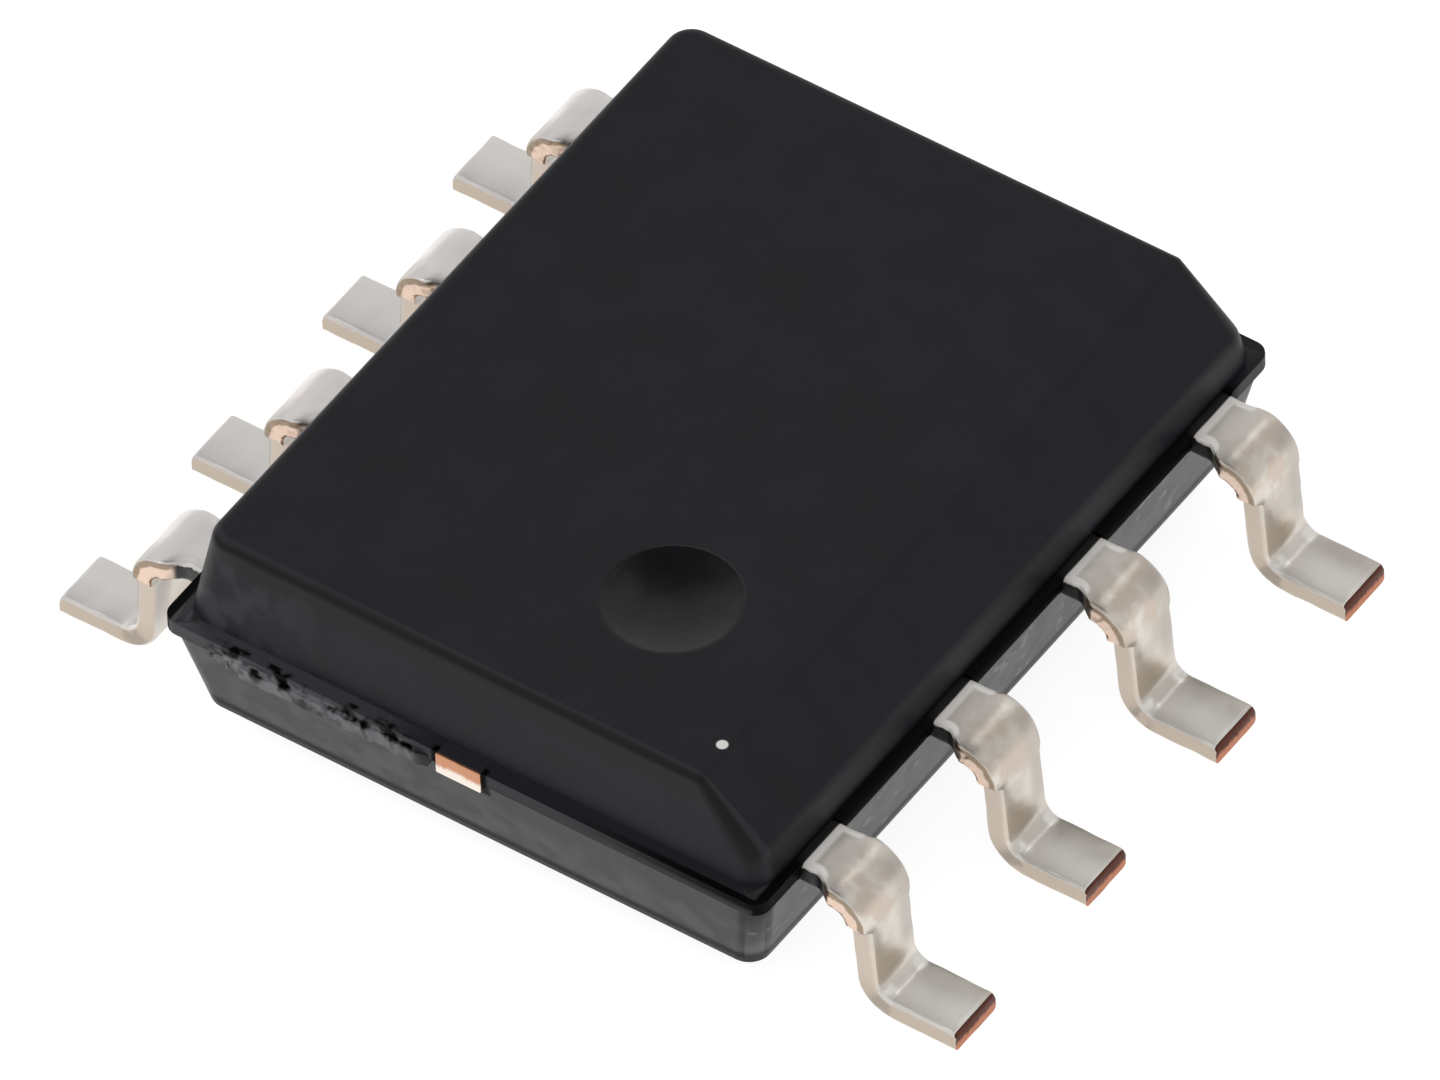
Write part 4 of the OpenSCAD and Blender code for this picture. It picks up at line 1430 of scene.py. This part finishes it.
@dataclass(frozen=True)
class Lamp:
    """A square soft light that faces the object.

    Attributes:
        name: name of the light.
        azimuth_deg: turn round the object, as towards takes it.
        elevation_deg: height above the horizon.
        size_mm: its side.
        away_mm: its distance.
        radiance: its brightness, where 1 is white paper's.
    """

    name: str
    azimuth_deg: float
    elevation_deg: float
    size_mm: float
    away_mm: float
    radiance: float

    def build(self) -> None:
        """Adds the light to the scene."""
        direction = towards(self.azimuth_deg, self.elevation_deg)
        data = bpy.data.lights.new(self.name, "AREA")
        data.size = self.size_mm * MM
        data.energy = self.radiance * math.pi * data.size ** 2
        made = bpy.data.objects.new(self.name, data)
        turn = direction.to_track_quat("Z", "Y").to_matrix().to_4x4()
        made.matrix_world = Matrix.Translation(direction * self.away_mm * MM) @ turn
        bpy.context.scene.collection.objects.link(made)


@dataclass(frozen=True)
class Studio:
    """Plain pale floor, soft light and the camera of the photograph.

    Attributes:
        azimuth_deg: turn of the camera round the object.
        elevation_deg: height of the camera above the horizon.
        roll_deg: lean of the upright to the left in the picture.
        distance_mm: distance of the camera.
        sensor_mm: width of the camera's sensor.
        clip_mm: nearest and furthest distance that the camera sees.
        frame_mm: width of the picture at the object.
        aim_mm: point that the camera looks at, before the two offsets.
        aim_right_mm: offset of the aim to the right in the picture.
        aim_up_mm: offset of the aim upwards in the picture.
        floor_mm: side of the floor.
        paper: colour of the floor.
        paper_glow: how much brighter the floor is to the camera and in reflections.
        wall_light: brightness of the tent's walls.
        roof_light: brightness of the tent's roof.
        roof_deg: heights between which the walls turn into the roof.
        lamps: the lamps.
    """

    azimuth_deg: float = 36.284
    elevation_deg: float = 47.146
    roll_deg: float = 2.371
    distance_mm: float = 240.0
    sensor_mm: float = 36.0
    clip_mm: Pair = (1.0, 10000.0)
    frame_mm: float = 7.939
    aim_mm: Point = (0.0, 0.0, 0.6)
    aim_right_mm: float = 0.0055
    aim_up_mm: float = -0.0937
    floor_mm: float = 400.0
    paper: str = "#b4b4b4"
    paper_glow: float = 0.86
    wall_light: float = 0.75
    roof_light: float = 0.25
    roof_deg: Pair = (54.0, 64.0)
    lamps: tuple[Lamp, ...] = (Lamp("left", -48.0, 50.0, 60.0, 150.0, 1.6),
                               Lamp("back", 172.0, 57.0, 28.0, 150.0, 2.0))

    def camera(self) -> None:
        """Sets up the camera."""
        az, roll = math.radians(self.azimuth_deg), math.radians(self.roll_deg)
        right = Vector((math.cos(az), math.sin(az), 0))
        back = towards(self.azimuth_deg, self.elevation_deg)
        up = back.cross(right)
        side = math.cos(roll) * right - math.sin(roll) * up
        top = math.cos(roll) * up + math.sin(roll) * right
        aim = Vector(self.aim_mm) + self.aim_right_mm * side + self.aim_up_mm * top
        data = bpy.data.cameras.new("photo_camera")
        data.sensor_width = self.sensor_mm
        data.lens = self.sensor_mm * self.distance_mm / self.frame_mm
        data.clip_start, data.clip_end = (limit * MM for limit in self.clip_mm)
        eye = bpy.data.objects.new("photo_camera", data)
        turn = Matrix((side, top, back)).transposed().to_4x4()
        eye.matrix_world = Matrix.Translation((aim + back * self.distance_mm) * MM) @ turn
        bpy.context.scene.collection.objects.link(eye)
        bpy.context.scene.camera = eye

    def floor(self) -> Object:
        """Makes the floor.

        Returns:
            The floor.
        """
        half = self.floor_mm / 2 * MM
        mesh = bpy.data.meshes.new("floor")
        corners = [(-half, -half, 0), (half, -half, 0), (half, half, 0), (-half, half, 0)]
        mesh.from_pydata(corners, [], [(0, 1, 2, 3)])
        material = bpy.data.materials.new("white_paper")
        material.use_nodes = True
        tree = material.node_tree
        tree.nodes.clear()
        paths = add(tree, "ShaderNodeLightPath").outputs
        seen = paths["Is Camera Ray"]
        for other in ("Is Glossy Ray", "Is Transmission Ray"):
            seen = add(tree, "ShaderNodeMath", {0: seen, 1: paths[other]}, operation="MAXIMUM")
        lift = add(tree, "ShaderNodeMixShader", {0: seen, 2: add(tree, "ShaderNodeEmission",
                                                                 {"Strength": self.paper_glow})})
        paper = add(tree, "ShaderNodeBsdfDiffuse", {"Color": linear(self.paper)})
        both = add(tree, "ShaderNodeAddShader", {0: paper, 1: lift})
        add(tree, "ShaderNodeOutputMaterial", {"Surface": both})
        mesh.materials.append(material)
        made = bpy.data.objects.new("floor", mesh)
        bpy.context.scene.collection.objects.link(made)
        return made

    def world(self) -> None:
        """Lights the scene from all round, with a white backdrop."""
        world = bpy.data.worlds.new("soft_tent")
        world.use_nodes = True
        tree = world.node_tree
        tree.nodes.clear()
        paths = add(tree, "ShaderNodeLightPath").outputs
        outward = add(tree, "ShaderNodeTexCoord").outputs["Generated"]
        height = add(tree, "ShaderNodeSeparateXYZ", {0: outward}).outputs[2]
        wall_end, roof_start = (math.sin(math.radians(a)) for a in self.roof_deg)
        level = add(tree, "ShaderNodeMapRange", {"Value": height, "From Min": wall_end, "From Max": roof_start,
                                                 "To Min": self.wall_light, "To Max": self.roof_light},
                    interpolation_type="SMOOTHSTEP")
        tent, backdrop = (add(tree, "ShaderNodeBackground", {"Color": (1.0,) * 4, "Strength": light})
                          for light in (level, 1.0))
        mixed = add(tree, "ShaderNodeMixShader", {0: paths["Is Camera Ray"], 1: tent, 2: backdrop})
        add(tree, "ShaderNodeOutputWorld", {"Surface": mixed})
        bpy.context.scene.world = world

    def build(self) -> None:
        """Sets up the whole studio."""
        bpy.context.scene.view_settings.view_transform = "Standard"
        self.camera()
        self.floor()
        self.world()
        for lamp in self.lamps:
            lamp.build()


def main() -> None:
    """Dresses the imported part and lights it."""
    logging.basicConfig(level=logging.INFO, format="%(name)s: %(message)s")
    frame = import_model()
    Studio().build()
    pieces = [*MouldedBody(frame["nodes"]).build(), *LeadFrame(frame["nodes"]).build()]
    Chip(frame["nodes"]).dress()
    for piece in pieces:
        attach(piece, "root")
        LOG.info("%s: %d faces", piece.name, len(piece.data.polygons))


if __name__ == "__main__":
    main()
